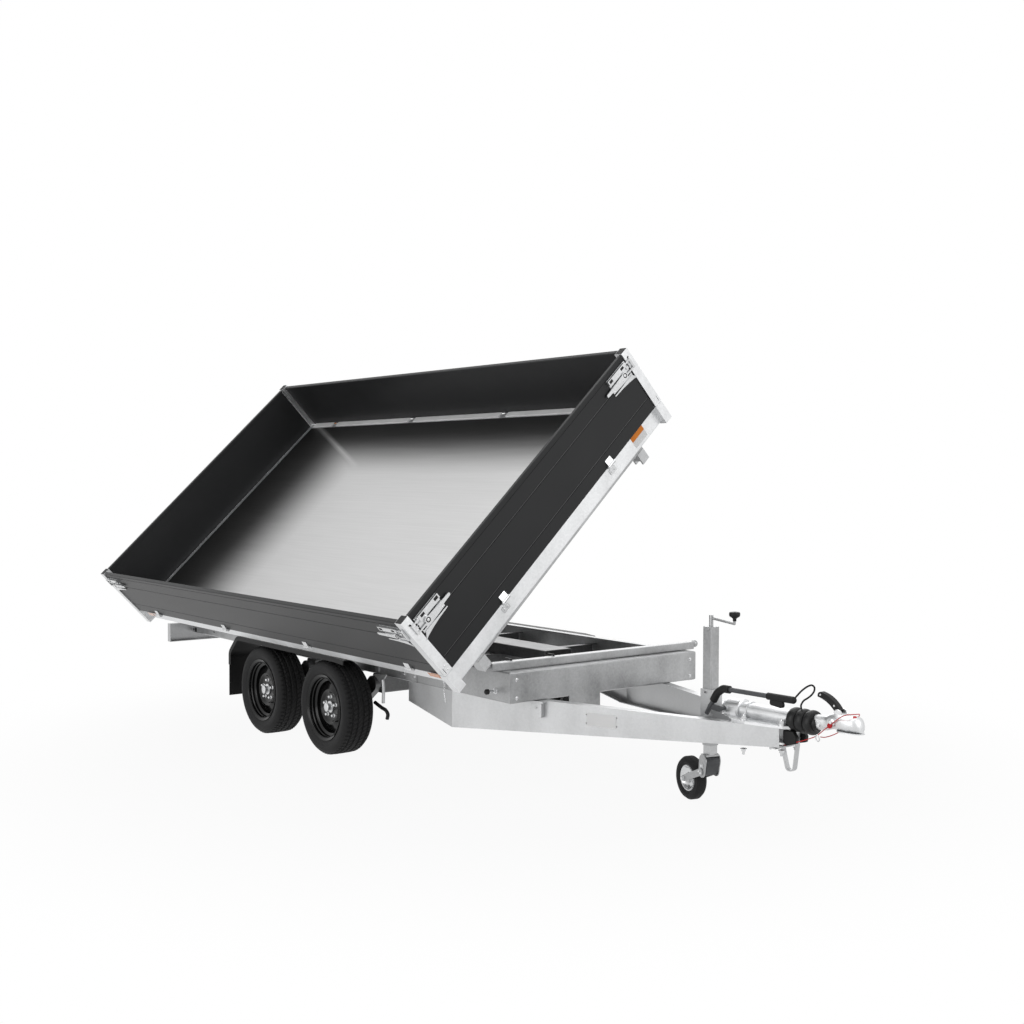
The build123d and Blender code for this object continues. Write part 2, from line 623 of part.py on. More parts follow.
# Handbrake grips: the moulded elbow, the grip and its catch, and the sheathed loop that leaves the grip
GRIP_RADIUS = 16.0
GRIP_LENGTH = 140.0
ELBOW_RADIUS = 18.0
ELBOW_REACH = 45.0
ELBOW_FRONT_X = -600.0
CATCH = [(-350.0, 556.0, 10.0), (-300.0, 552.0, 12.0), (-300.0, 572.0, 8.0), (-350.0, 572.0, 8.0)]
with BuildPart() as handbrake_grips:
    lever_front = Vector(*lever_points[-1])
    grip_front = lever_front + (lever_front - Vector(*lever_points[-2])).normalized() * GRIP_LENGTH
    rod(lever_front, grip_front, GRIP_RADIUS)
    with Locations(grip_front):
        Sphere(GRIP_RADIUS)
    link(Plane.XZ.offset(-LEVER_Y - 8.0), [(x, up(height), radius) for x, height, radius in CATCH], 16.0)
    with BuildLine():
        elbow_start = Vector(*lever_points[1]) - lever_start.z_dir * ELBOW_REACH
        forward = (ELBOW_FRONT_X - LEVER_PATH[2][0]) / (LEVER_PATH[3][0] - LEVER_PATH[2][0])
        elbow_end = Vector(*lever_points[2]) + (Vector(*lever_points[3]) - Vector(*lever_points[2])) * forward
        FilletPolyline(
            tuple(elbow_start),
            lever_points[1],
            lever_points[2],
            tuple(elbow_end),
            radius=LEVER_BEND,
        )
    with BuildSketch(Plane(origin=elbow_start, z_dir=lever_start.z_dir)):
        Circle(ELBOW_RADIUS)
        Circle(LEVER_RADIUS + SEAT, mode=Mode.SUBTRACT)
    sweep()
    leaving = (Vector(*loop_points[0]) - grip_front).normalized()
    crown = foot_reach + CABLE_FOOT_RISE
    loop_start = tuple(grip_front + leaving * (GRIP_RADIUS + 3 * SEAT))
    loop_foot = [
        (fold_x, crown * foot_y, up(TOW_HEIGHT) + crown * foot_z),
        (fold_x, foot_reach * foot_y, up(TOW_HEIGHT) + foot_reach * foot_z),
    ]
    cord([loop_start] + loop_points + loop_foot, BRAKE_CABLE_DIAMETER)
write(handbrake_grips, "handbrake_grips")

# Breakaway cable: from the strap of the safety hoop to the coupling, once round its head, and back to itself
BREAKAWAY_DIAMETER = 4.0
BREAKAWAY_BUTTON = (-63.0, -45.0, 495.0)
BUTTON_DIAMETER = 23.0
BUTTON_THICK = 6.0
BREAKAWAY_ROUTE = [
    (-318.0, -12.0, 368.0), (-286.0, -26.0, 379.0), (-246.0, -38.0, 393.0), (-204.0, -47.0, 408.0),
    (-164.0, -53.0, 424.0), (-132.0, -56.0, 438.0), (-110.0, -56.0, 453.0), (-88.0, -50.0, 475.0),
    BREAKAWAY_BUTTON, (-36.0, -48.0, 517.0), (-8.0, -53.0, 537.0), (20.0, -50.0, 554.0),
    (35.0, -25.0, 555.0), (37.0, 8.0, 553.0), (28.0, 39.0, 549.0), (8.0, 56.0, 529.0),
    (-24.0, 55.0, 502.0), (-56.0, 48.0, 474.0), (-84.0, 32.0, 450.0), (-104.0, 6.0, 437.0),
    (-112.0, -20.0, 434.0), (-113.0, -42.0, 439.0)
]
BREAKAWAY_START_Y = -10.0
with BuildPart() as breakaway_cable:
    start = (HOOP_PATH[0][0], BREAKAWAY_START_Y, strap_rear_top + BREAKAWAY_DIAMETER / 2 + SEAT)
    cord([start] + [(x, y, up(height)) for x, y, height in BREAKAWAY_ROUTE], BREAKAWAY_DIAMETER)
    bx, by, button_height = BREAKAWAY_BUTTON
    rod(
        (bx, by - BUTTON_THICK / 2, up(button_height)),
        (bx, by + BUTTON_THICK / 2, up(button_height)),
        BUTTON_DIAMETER / 2,
    )
write(breakaway_cable, "breakaway_cable")

# Jockey mast: square tube, closed by a cap that carries the crank's shaft
CRANK_TOP = 904.0
CRANK_ARM_HEIGHT = 890.0
CRANK_ARM_DROP = 15.0
CRANK_REACH = 144.0
CRANK_RADIUS = 6.0
SHAFT_RADIUS = 10.0
with BuildPart() as jockey_mast:
    half = MAST_SIZE / 2
    block((MAST_X - half, MAST_X + half), (MAST_Y - half, MAST_Y + half), (up(MAST_BOTTOM), up(MAST_TOP)))
    fillet(jockey_mast.edges().filter_by(Axis.Z), SHEET)
    bore = half - SHEET
    block(
        (MAST_X - bore, MAST_X + bore),
        (MAST_Y - bore, MAST_Y + bore),
        (up(MAST_BOTTOM) - 1.0, up(MAST_TOP) - SHEET),
        Mode.SUBTRACT,
    )
    rod((MAST_X, MAST_Y, up(MAST_TOP) - SHEET), (MAST_X, MAST_Y, up(CRANK_TOP)), SHAFT_RADIUS)
    arm_end = (MAST_X + CRANK_REACH, MAST_Y, up(CRANK_ARM_HEIGHT - CRANK_ARM_DROP))
    rod((MAST_X, MAST_Y, up(CRANK_ARM_HEIGHT)), arm_end, CRANK_RADIUS)
    with Locations(arm_end):
        Sphere(CRANK_RADIUS)
    rod(arm_end, (arm_end[0], arm_end[1], arm_end[2] + 12.0), CRANK_RADIUS)
write(jockey_mast, "jockey_mast")

# Crank knob: a mushroom on a stem
KNOB_TOP = 932.0
KNOB_RADIUS = 19.0
with BuildPart() as crank_knob:
    stem_bottom = arm_end[2] + 12.0 + SEAT
    knob_top = up(KNOB_TOP)
    turned(
        Plane(origin=(arm_end[0], arm_end[1], 0), x_dir=(1, 0, 0), z_dir=(0, -1, 0)),
        Axis((arm_end[0], arm_end[1], 0), (0, 0, 1)),
        [
            (0, stem_bottom), (8.0, stem_bottom), (8.0, knob_top - 26.0), (
                KNOB_RADIUS - 4.0,
                knob_top - 20.0,
            ),
            (KNOB_RADIUS, knob_top - 13.0), (KNOB_RADIUS, knob_top - 5.0), (KNOB_RADIUS - 4.0, knob_top), (
                0,
                knob_top,
            )
        ],
    )
write(crank_knob, "crank_knob")

# Jockey leg: inner tube
TUBE_PLAY = 0.3
TUBE_ENGAGED = 330.0
INNER_HALF = MAST_SIZE / 2 - SHEET - TUBE_PLAY
with BuildPart() as jockey_tube:
    block(
        (MAST_X - INNER_HALF, MAST_X + INNER_HALF),
        (MAST_Y - INNER_HALF, MAST_Y + INNER_HALF),
        (up(FORK_TOP), up(MAST_BOTTOM + TUBE_ENGAGED)),
    )
    core = INNER_HALF - SHEET
    block(
        (MAST_X - core, MAST_X + core),
        (MAST_Y - core, MAST_Y + core),
        (up(FORK_TOP) + SHEET, up(MAST_BOTTOM + TUBE_ENGAGED) + 1.0),
        Mode.SUBTRACT,
    )
write(jockey_tube, "jockey_tube")

# Jockey fork: a swivel head with rounded side plates, and two arms that trail to the axle
JOCKEY_RADIUS = JOCKEY_DIAMETER / 2
trail = math.hypot(JOCKEY_TRAIL_X, JOCKEY_TRAIL_Y)
JOCKEY = Plane(origin=(MAST_X, MAST_Y, up(0)), x_dir=(JOCKEY_TRAIL_X, JOCKEY_TRAIL_Y, 0), z_dir=(0, 0, 1))
fork_plane = Plane(JOCKEY.location * Plane.XZ.location)
FORK_GAP = 5.0
FORK_WALL = 5.0
HEAD_HALF = 30.0
JOCKEY_AXLE = 8.0
head_top = FORK_TOP - SEAT
fork_out = JOCKEY_WIDTH / 2 + FORK_GAP
with BuildPart() as jockey_fork:
    for side in (-1, 1):
        inner_face = fork_plane.offset(side * fork_out if side > 0 else -fork_out - FORK_WALL)
        link(
            inner_face,
            [(2.0, head_top - HEAD_HALF, HEAD_HALF), (10.0, head_top - 84.0, HEAD_HALF - 4.0)],
            FORK_WALL,
        )
        outer_face = fork_plane.offset(
            side * (fork_out + FORK_WALL) if side > 0 else -fork_out - 2 * FORK_WALL,
        )
        link(outer_face, [(14.0, head_top - 84.0, 17.0), (trail, JOCKEY_RADIUS, 15.0)], FORK_WALL)
    prism(
        fork_plane.offset(-fork_out),
        [(-22.0, head_top), (24.0, head_top), (24.0, head_top - 9.0), (-22.0, head_top - 9.0)],
        2 * fork_out,
    )
    axle_place = Plane(JOCKEY.location * Pos(trail, 0, JOCKEY_RADIUS))
    axle_half = fork_out + 2 * FORK_WALL + 4.0
    rod(
        tuple(axle_place.from_local_coords((0, -axle_half, 0))),
        tuple(axle_place.from_local_coords((0, axle_half, 0))),
        JOCKEY_AXLE,
    )
write(jockey_fork, "jockey_fork")

# Jockey buffer: a moulded shell in front of the swivel head, between its plates
BUFFER_WALL = 7.0
with BuildPart() as jockey_buffer:
    buffer_half = fork_out - SEAT
    front_circles = [
        (-26.0, head_top - 36.0, 25.0),
        (-30.0, head_top - 76.0, 25.0),
        (-2.0, head_top - 112.0, 19.0),
    ]
    with BuildSketch(fork_plane.offset(-buffer_half)) as shell:
        for x, y, radius in front_circles:
            with Locations((x, y)):
                Circle(radius)
        make_hull()
    with BuildSketch(fork_plane.offset(-buffer_half)) as hollow:
        for x, y, radius in front_circles:
            with Locations((x, y)):
                Circle(radius - BUFFER_WALL)
        with Locations((40.0, head_top - 70.0)):
            Circle(radius - BUFFER_WALL)
        make_hull()
    extrude(shell.sketch - hollow.sketch, amount=2 * buffer_half)
write(jockey_buffer, "jockey_buffer")

# Jockey wheel: solid tyre on a pressed rim
RIM_EDGE = 62.0
RIM_HALF = 22.0
AXLE_PLAY = 0.3
wheel_plane = Plane(JOCKEY.location * Pos(trail, 0, JOCKEY_RADIUS) * Plane.YZ.location)
jockey_axis = Axis(axle_place.origin, axle_place.y_dir)
half_tread = JOCKEY_WIDTH / 2
with BuildPart() as jockey_tyre:
    turned(
        wheel_plane,
        jockey_axis,
        [
            (-RIM_HALF, RIM_EDGE), (-half_tread, 78.0), (-half_tread + 4.0, JOCKEY_RADIUS - 9.0), (
                -14.0,
                JOCKEY_RADIUS,
            ),
            (14.0, JOCKEY_RADIUS), (half_tread - 4.0, JOCKEY_RADIUS - 9.0), (half_tread, 78.0), (
                RIM_HALF,
                RIM_EDGE,
            )
        ],
    )
write(jockey_tyre, "jockey_tyre")

with BuildPart() as jockey_rim:
    bore = JOCKEY_AXLE + AXLE_PLAY
    turned(
        wheel_plane,
        jockey_axis,
        [
            (-RIM_HALF, RIM_EDGE), (RIM_HALF, RIM_EDGE), (RIM_HALF, RIM_EDGE - 6.0), (6.0, RIM_EDGE - 10.0), (
                6.0,
                26.0,
            ),
            (24.0, 22.0), (24.0, bore), (-24.0, bore), (-24.0, 22.0), (-6.0, 26.0), (-6.0, RIM_EDGE - 10.0),
            (-RIM_HALF, RIM_EDGE - 6.0)
        ],
    )
write(jockey_rim, "jockey_rim")

# Axle beams: a square tube under the rails, with a trailing arm and stub at each end
AXLE_TUBE = 100.0
ARM_TRAIL = 160.0
ARM_WIDE = 40.0
ARM_Y = RAIL_OUTER_Y - 3.5
BACKPLATE_RADIUS = 110.0
BACKPLATE_THICK = 8.0
STUB_RADIUS = 20.0
STUB_END_Y = WHEEL_Y - 20.0
wheel_height = TYRE_DIAMETER / 2
with BuildPart() as axle_beams:
    for i in range(2):
        x = AXLE_FRONT_X - i * AXLE_SPACING
        tube_x = x + ARM_TRAIL
        with BuildSketch(Plane.XZ.offset(-ARM_Y)) as tube:
            with Locations((tube_x, up(RAIL_BOTTOM - AXLE_TUBE / 2))):
                RectangleRounded(AXLE_TUBE, AXLE_TUBE, BEND)
                Circle(AXLE_TUBE / 2 - 3 * SHEET, mode=Mode.SUBTRACT)
        extrude(tube.sketch, amount=ARM_Y)
        link(
            Plane.XZ.offset(-ARM_Y - ARM_WIDE),
            [
                (tube_x, up(RAIL_BOTTOM - AXLE_TUBE / 2), AXLE_TUBE / 2 - 6.0),
                (x, up(wheel_height), 1.6 * STUB_RADIUS),
            ],
            ARM_WIDE,
        )
        rod((x, ARM_Y, up(wheel_height)), (x, STUB_END_Y, up(wheel_height)), STUB_RADIUS)
        plate_y = ARM_Y + ARM_WIDE
        rod(
            (x, plate_y, up(wheel_height)),
            (x, plate_y + BACKPLATE_THICK, up(wheel_height)),
            BACKPLATE_RADIUS,
        )
    mirror(about=Plane.XZ)
write(axle_beams, "axle_beams")

# Wheels: tyre, deep steel rim with vents, and hub with its drum and cap
TYRE_RADIUS = TYRE_DIAMETER / 2
RIM_RADIUS = RIM_DIAMETER / 2
BEAD_RADIUS = RIM_RADIUS - 18.0
RIM_SEAT = 80.0
RIM_OUT = 86.0
RIM_SHEET = 6.0
WELL = 14.0
DISC_OFFSET = 30.0
DISC_BORE = 34.0
HUB_BORE = STUB_RADIUS + 1.0
SHOULDER = 24.0
half_width = TYRE_WIDTH / 2
tyre_half = [
    (RIM_SEAT - SEAT, BEAD_RADIUS + SEAT),
    (RIM_SEAT - SEAT, RIM_RADIUS + SEAT),
    (half_width - 7.5, RIM_RADIUS + 6.0),
    (half_width, (RIM_RADIUS + TYRE_RADIUS) / 2),
    (half_width - 8.0, TYRE_RADIUS - 18.0),
    (half_width - SHOULDER, TYRE_RADIUS),
]
tyre_section = [(-x, y) for x, y in tyre_half] + [(x, y) for x, y in reversed(tyre_half)]
well_radius = BEAD_RADIUS - RIM_SHEET - WELL
rim_section = [
    (-RIM_SEAT, BEAD_RADIUS),
    (-RIM_SEAT, RIM_RADIUS),
    (-RIM_OUT, RIM_RADIUS),
    (-RIM_OUT, BEAD_RADIUS - RIM_SHEET),
    (-46.0, BEAD_RADIUS - RIM_SHEET),
    (-46.0, well_radius),
    (DISC_OFFSET - 8.0, well_radius),
    (DISC_OFFSET + 12.0, 112.0),
    (DISC_OFFSET, 84.0),
    (DISC_OFFSET, DISC_BORE),
    (DISC_OFFSET + RIM_SHEET, DISC_BORE),
    (DISC_OFFSET + RIM_SHEET, 85.0),
    (DISC_OFFSET + 13.0 + RIM_SHEET, 115.0),
    (DISC_OFFSET, well_radius),
    (46.0, well_radius),
    (46.0, BEAD_RADIUS - RIM_SHEET),
    (RIM_OUT, BEAD_RADIUS - RIM_SHEET),
    (RIM_OUT, RIM_RADIUS),
    (RIM_SEAT, RIM_RADIUS),
    (RIM_SEAT, BEAD_RADIUS),
    (40.0, BEAD_RADIUS),
    (40.0, BEAD_RADIUS - WELL),
    (-40.0, BEAD_RADIUS - WELL),
    (-40.0, BEAD_RADIUS),
]
VENTS = 12
VENT_PITCH_RADIUS = (115.0 + well_radius) / 2 + 2.0
DRUM_GAP = 5.0
drum_inner = ARM_Y + ARM_WIDE + BACKPLATE_THICK + DRUM_GAP - WHEEL_Y
stub_end = STUB_END_Y - WHEEL_Y + 2.0
CAP_RADIUS = 20.0
hub_section = [
    (drum_inner, HUB_BORE),
    (drum_inner, BACKPLATE_RADIUS + 2.0),
    (-50.0, BACKPLATE_RADIUS + 2.0),
    (-40.0, 70.0),
    (DISC_OFFSET, 70.0),
    (DISC_OFFSET, DISC_BORE - 2.0),
    (DISC_OFFSET + 12.0, DISC_BORE - 2.0),
    (DISC_OFFSET + 14.0, CAP_RADIUS),
    (DISC_OFFSET + 34.0, CAP_RADIUS),
    (DISC_OFFSET + 38.0, CAP_RADIUS - 4.0),
    (DISC_OFFSET + 38.0, 0.0),
    (stub_end, 0.0),
    (stub_end, HUB_BORE),
]
WHEELS = [
    # place, x of the axle, side
    ("front_left", AXLE_FRONT_X, 1),
    ("front_right", AXLE_FRONT_X, -1),
    ("rear_left", AXLE_FRONT_X - AXLE_SPACING, 1),
    ("rear_right", AXLE_FRONT_X - AXLE_SPACING, -1),
]
for place, x, side in WHEELS:
    centre = (x, side * WHEEL_Y, up(wheel_height))
    # Local x runs outwards along the stub, local y is the radius.
    turning = Plane(origin=centre, x_dir=(0, side, 0), z_dir=(side, 0, 0))
    spin = Axis(centre, (0, 1, 0))
    with BuildPart() as tyre:
        turned(turning, spin, tyre_section)
    write(tyre, f"tyre_{place}")
    with BuildPart() as rim:
        turned(turning, spin, rim_section)
        vent_plane = Plane(origin=centre, x_dir=(1, 0, 0), z_dir=(0, side, 0)).offset(DISC_OFFSET - 20.0)
        with BuildSketch(vent_plane) as vents:
            with PolarLocations(VENT_PITCH_RADIUS, VENTS):
                SlotOverall(20.0, 11.0, rotation=90.0)
        extrude(vents.sketch, amount=50.0, mode=Mode.SUBTRACT)
    write(rim, f"rim_{place}")
    with BuildPart() as hub:
        turned(turning, spin, hub_section)
    write(hub, f"hub_{place}")

# Mudguards: a moulded shell over each pair of wheels, with a lip along its outer edge
GUARD_INNER_Y = WHEEL_Y - 110.0
GUARD_OUTER_Y = WHEEL_Y + 105.0
GUARD_TOP = 600.0
GUARD_LOW = 370.0
GUARD_KNEE = 455.0
GUARD_SLOPE = 150.0
GUARD_WALL = 4.0
GUARD_LIP = 26.0
GUARD_EDGE = 395.0
MITRE = math.tan(math.radians(22.5))
guard_front = AXLE_FRONT_X + GUARD_EDGE
guard_rear = AXLE_FRONT_X - AXLE_SPACING - GUARD_EDGE


def guard_path(inset):
    """Line of the mudguard seen from the side, drawn in from its outer face."""
    shift = inset * MITRE
    return [
        (guard_rear + inset, up(GUARD_LOW)),
        (guard_rear + inset, up(GUARD_KNEE) - shift),
        (guard_rear + GUARD_SLOPE + shift, up(GUARD_TOP) - inset),
        (guard_front - GUARD_SLOPE - shift, up(GUARD_TOP) - inset),
        (guard_front - inset, up(GUARD_KNEE) - shift),
        (guard_front - inset, up(GUARD_LOW)),
    ]


with BuildPart() as mudguards:
    for band, wide, outer_y in (
        (GUARD_WALL, GUARD_OUTER_Y - GUARD_INNER_Y, GUARD_OUTER_Y),
        (GUARD_LIP, 3.0, GUARD_OUTER_Y),
    ):
        with BuildSketch(Plane.XZ.offset(-outer_y)) as guard_band:
            with BuildLine():
                FilletPolyline(*guard_path(band / 2), radius=75.0)
            trace(line_width=band)
        extrude(guard_band.sketch, amount=wide)
    mirror(about=Plane.XZ)
write(mudguards, "mudguards")

FLAP_THICK = 6.0
FLAP_BOTTOM = 180.0
FLAP_TOP = GUARD_KNEE - 35.0
FLAP_INSET = 5.0
with BuildPart() as mud_flaps:
    flap_x = guard_rear + GUARD_WALL + SEAT
    block(
        (flap_x, flap_x + FLAP_THICK),
        (GUARD_INNER_Y, GUARD_OUTER_Y - FLAP_INSET),
        (up(FLAP_BOTTOM), up(FLAP_TOP)),
    )
    mirror(about=Plane.XZ)
write(mud_flaps, "mud_flaps")

# Stays: flat bars that fold over from the rails to the mudguards
STAY_WIDE = 40.0
STAY_THICK = 8.0
STAY_DROP = 110.0
STAY_INSET = 230.0
with BuildPart() as mudguard_stays:
    stay_top = up(GUARD_TOP) - GUARD_WALL - SEAT
    for x in (guard_front - STAY_INSET, RAM_X, guard_rear + STAY_INSET):
        xs = (x - STAY_WIDE / 2, x + STAY_WIDE / 2)
        block(xs, (RAIL_OUTER_Y + SEAT, GUARD_OUTER_Y - GUARD_LIP), (stay_top - STAY_THICK, stay_top))
        block(xs, (RAIL_OUTER_Y + SEAT, RAIL_OUTER_Y + SEAT + STAY_THICK), (stay_top - STAY_DROP, stay_top))
    mirror(about=Plane.XZ)
write(mudguard_stays, "mudguard_stays")

# Lamp bar: a folded sheet across the rear ends of the rails, with end plates
LAMP_BAR_HALF = 828.0
LAMP_BAR_BOTTOM = 394.0
LAMP_BAR_TOP = 519.0
LAMP_BAR_DEEP = 42.0
with BuildPart() as lamp_bar:
    web_x = FRAME_REAR_X - SHEET
    ys = (-LAMP_BAR_HALF, LAMP_BAR_HALF)
    block((web_x, FRAME_REAR_X), ys, (up(LAMP_BAR_BOTTOM), up(LAMP_BAR_TOP)))
    block((web_x, web_x + LAMP_BAR_DEEP), ys, (up(LAMP_BAR_BOTTOM), up(LAMP_BAR_BOTTOM) + SHEET))
    for side in (-1, 1):
        past_rail = side * (RAIL_OUTER_Y + BEND)
        edge = side * LAMP_BAR_HALF
        block(
            (web_x, web_x + LAMP_BAR_DEEP),
            (past_rail, edge),
            (up(LAMP_BAR_TOP) - SHEET, up(LAMP_BAR_TOP)),
        )
        block(
            (web_x, web_x + LAMP_BAR_DEEP),
            (edge - side * SHEET, edge),
            (up(LAMP_BAR_BOTTOM), up(LAMP_BAR_TOP)),
        )
write(lamp_bar, "lamp_bar")

# Rear lamps on the bar
LAMP_LENGTH = 220.0
LAMP_MARGIN = 12.0
LAMP_DEEP = 13.0
with BuildPart() as rear_lamps:
    with BuildSketch(Plane(origin=(web_x - SEAT, 0, 0), x_dir=(0, -1, 0), z_dir=(-1, 0, 0))) as lamp_face:
        with Locations(
            (-LAMP_BAR_HALF + LAMP_MARGIN + LAMP_LENGTH / 2, up((LAMP_BAR_BOTTOM + LAMP_BAR_TOP) / 2)),
        ):
            RectangleRounded(LAMP_LENGTH, LAMP_BAR_TOP - LAMP_BAR_BOTTOM - 2 * LAMP_MARGIN, LAMP_MARGIN)
    extrude(lamp_face.sketch, amount=LAMP_DEEP, taper=6)
    mirror(about=Plane.XZ)
write(rear_lamps, "rear_lamps")

# Bed rim: folded channels between the corner posts, set back behind the posts' faces
BED_REAR_X = BED_FRONT_X - BED_LENGTH
HALF_WIDTH = BED_WIDTH / 2
RIM_BOTTOM = BED_BOTTOM + RIM_LIFT
RIM_TOP = RIM_BOTTOM + RIM_HEIGHT
rim_middle = up(RIM_BOTTOM + RIM_HEIGHT / 2)
side_front = BED_FRONT_X - POST_SIZE
side_rear = BED_REAR_X + POST_SIZE
end_half = HALF_WIDTH - POST_SIZE
web_y = HALF_WIDTH - RIM_INSET
RIMS = [
    # start of the run, side that it opens to, direction of the run, length
    ((side_rear, -web_y, rim_middle), (0, 1, 0), (1, 0, 0), side_front - side_rear),
    ((side_front, web_y, rim_middle), (0, -1, 0), (-1, 0, 0), side_front - side_rear),
    ((BED_FRONT_X - RIM_INSET, -end_half, rim_middle), (-1, 0, 0), (0, 1, 0), 2 * end_half),
    ((BED_REAR_X + RIM_INSET, end_half, rim_middle), (1, 0, 0), (0, -1, 0), 2 * end_half),
]
with BuildPart() as bed_rim:
    for start, opens, run, length in RIMS:
        folded(tipped(Plane(origin=start, x_dir=opens, z_dir=run)), RIM_HEIGHT, RIM_FLANGE, length, RIM_LIP)
write(bed_rim, "bed_rim")

# Corner posts: tubes on stubs, with a seam, a slit and a lock hole in their outer faces
SEAM_WIDTH = 4.0
SEAM_DEPTH = 2.5
SLIT_WIDTH = 3.0
SLIT_BOTTOM = 123.0
SLIT_TOP = 156.0
SLIT_EDGE = 13.0
LOCK_HOLE = 4.0
LOCK_HEIGHT = 437.0
CAP_THICK = 8.0
CORNERS = [(fx, sy) for fx in (1, -1) for sy in (-1, 1)]
inner_post = POST_SIZE / 2 - POST_WALL
with BuildPart(BED) as bed_posts:
    for fx, sy in CORNERS:
        cx = (BED_FRONT_X if fx > 0 else BED_REAR_X) - fx * POST_SIZE / 2
        cy = sy * (HALF_WIDTH - POST_SIZE / 2)
        half = POST_SIZE / 2
        seam = up(BED_BOTTOM + STUB_HEIGHT)
        block(
            (cx - half, cx + half),
            (cy - half, cy + half),
            (up(BED_BOTTOM), up(BED_BOTTOM + POST_HEIGHT)),
        )
        bore_xs = (cx - inner_post, cx + inner_post)
        bore_ys = (cy - inner_post, cy + inner_post)
        block(bore_xs, bore_ys, (up(BED_BOTTOM) - 1.0, seam - 2 * POST_WALL), Mode.SUBTRACT)
        block(bore_xs, bore_ys, (seam + 2 * POST_WALL, up(BED_BOTTOM + POST_HEIGHT) + 1.0), Mode.SUBTRACT)
        # Seam all round between stub and post
        core = half - SEAM_DEPTH
        for near, far in ((-half - 1.0, -core), (core, half + 1.0)):
            block(
                (cx + near, cx + far),
                (cy - half - 1.0, cy + half + 1.0),
                (seam, seam + SEAM_WIDTH),
                Mode.SUBTRACT,
            )
            block(
                (cx - half - 1.0, cx + half + 1.0),
                (cy + near, cy + far),
                (seam, seam + SEAM_WIDTH),
                Mode.SUBTRACT,
            )
        # Slit and lock hole in each of the two outer faces
        out_x = cx + fx * half
        out_y = cy + sy * half
        slit_heights = (up(BED_BOTTOM + SLIT_BOTTOM), up(BED_BOTTOM + SLIT_TOP))
        slit_y = out_y - sy * SLIT_EDGE
        slit_x = out_x - fx * SLIT_EDGE
        block((out_x - fx * 2 * SEAM_DEPTH, out_x + fx), (slit_y - SLIT_WIDTH / 2, slit_y + SLIT_WIDTH / 2), slit_heights,
              Mode.SUBTRACT)
        block((slit_x - SLIT_WIDTH / 2, slit_x + SLIT_WIDTH / 2), (out_y - sy * 2 * SEAM_DEPTH, out_y + sy), slit_heights,
              Mode.SUBTRACT)
        lock = up(BED_BOTTOM + LOCK_HEIGHT)
        with Locations(
            Plane(origin=(cx, cy, lock), z_dir=(fx, 0, 0)),
            Plane(origin=(cx, cy, lock), z_dir=(0, sy, 0)),
        ):
            Cylinder(LOCK_HOLE, POST_SIZE, align=BASE_ALIGN, mode=Mode.SUBTRACT)
write(bed_posts, "bed_posts")

# Floor sheet, lying between the rims on the cross bearers
floor_half = web_y - RIM_FLANGE
floor_front = BED_FRONT_X - RIM_INSET - RIM_FLANGE
floor_rear = BED_REAR_X + RIM_INSET + RIM_FLANGE
BEARER_TOP = RIM_TOP - FLOOR_SHEET
BEARER_BOTTOM = BEARER_TOP - BEARER_HEIGHT
with BuildPart(BED) as bed_floor:
    block((floor_rear, floor_front), (-floor_half, floor_half), (up(BEARER_TOP), up(RIM_TOP)))
write(bed_floor, "bed_floor")

# Bed bearers: two bays across the bed, one each side of the cylinder
BEARER_MARGIN = 72.0
BAYS = [
    # first and last bearer of the bay
    (BED_FRONT_X - BEARER_MARGIN, RAM_X + RAM_BEARER),
    (RAM_X - RAM_BEARER, BED_REAR_X + BEARER_MARGIN),
]
with BuildPart(BED) as bed_bearers:
    reach = web_y - BEND
    for first, last in BAYS:
        for i in range(BAY_BEARERS):
            x = first + (last - first) * i / (BAY_BEARERS - 1)
            block(
                (x - BEARER_WIDTH / 2, x + BEARER_WIDTH / 2),
                (-reach, reach),
                (up(BEARER_BOTTOM), up(BEARER_TOP)),
            )
write(bed_bearers, "bed_bearers")

# Longerons and the cross tubes over the pivots
PIVOT_TUBE_WIDTH = 60.0
PIVOT_TUBE_BOTTOM = 692.0
CUP_HALF_X = 32.0
CUP_HALF_Y = 28.0
with BuildPart(BED) as bed_longerons:
    tube_half = PIVOT_TUBE_WIDTH / 2
    for side in (-1, 1):
        near = side * (LONGERON_Y - LONGERON_WIDTH / 2)
        far = side * (LONGERON_Y + LONGERON_WIDTH / 2)
        block(
            (PIVOT_REAR_X + tube_half, PIVOT_FRONT_X - tube_half), (near, far), (
                up(LONGERON_BOTTOM),
                up(BEARER_BOTTOM),
            )
        )
    for x in (PIVOT_FRONT_X, PIVOT_REAR_X):
        reach = PIVOT_Y + CUP_HALF_Y
        block((x - tube_half, x + tube_half), (-reach, reach), (up(PIVOT_TUBE_BOTTOM), up(BEARER_BOTTOM)))
write(bed_longerons, "bed_longerons")

# Pivot cups: a block over each ball, open below and towards the bar
CUP_MOUTH = 22.0
CUP_SKIRT = 5.0
with BuildPart(BED) as pivot_cups:
    for x in (PIVOT_FRONT_X, PIVOT_REAR_X):
        for side in (-1, 1):
            ys = (side * (PIVOT_Y - CUP_HALF_Y), side * (PIVOT_Y + CUP_HALF_Y))
            block((x - CUP_HALF_X, x + CUP_HALF_X), ys, (up(PIVOT_HEIGHT), up(PIVOT_TUBE_BOTTOM)))
        for side in (-1, 1):
            with Locations((x, side * PIVOT_Y, up(PIVOT_HEIGHT))):
                Sphere(PIVOT_BALL_RADIUS + PIVOT_GAP, mode=Mode.SUBTRACT)
            block(
                (x - CUP_MOUTH, x + CUP_MOUTH),
                (side * (PIVOT_Y - 2 * CUP_HALF_Y), side * PIVOT_Y),
                (up(PIVOT_HEIGHT) - CUP_SKIRT, up(PIVOT_HEIGHT) + CUP_MOUTH),
                Mode.SUBTRACT,
            )
write(pivot_cups, "pivot_cups")

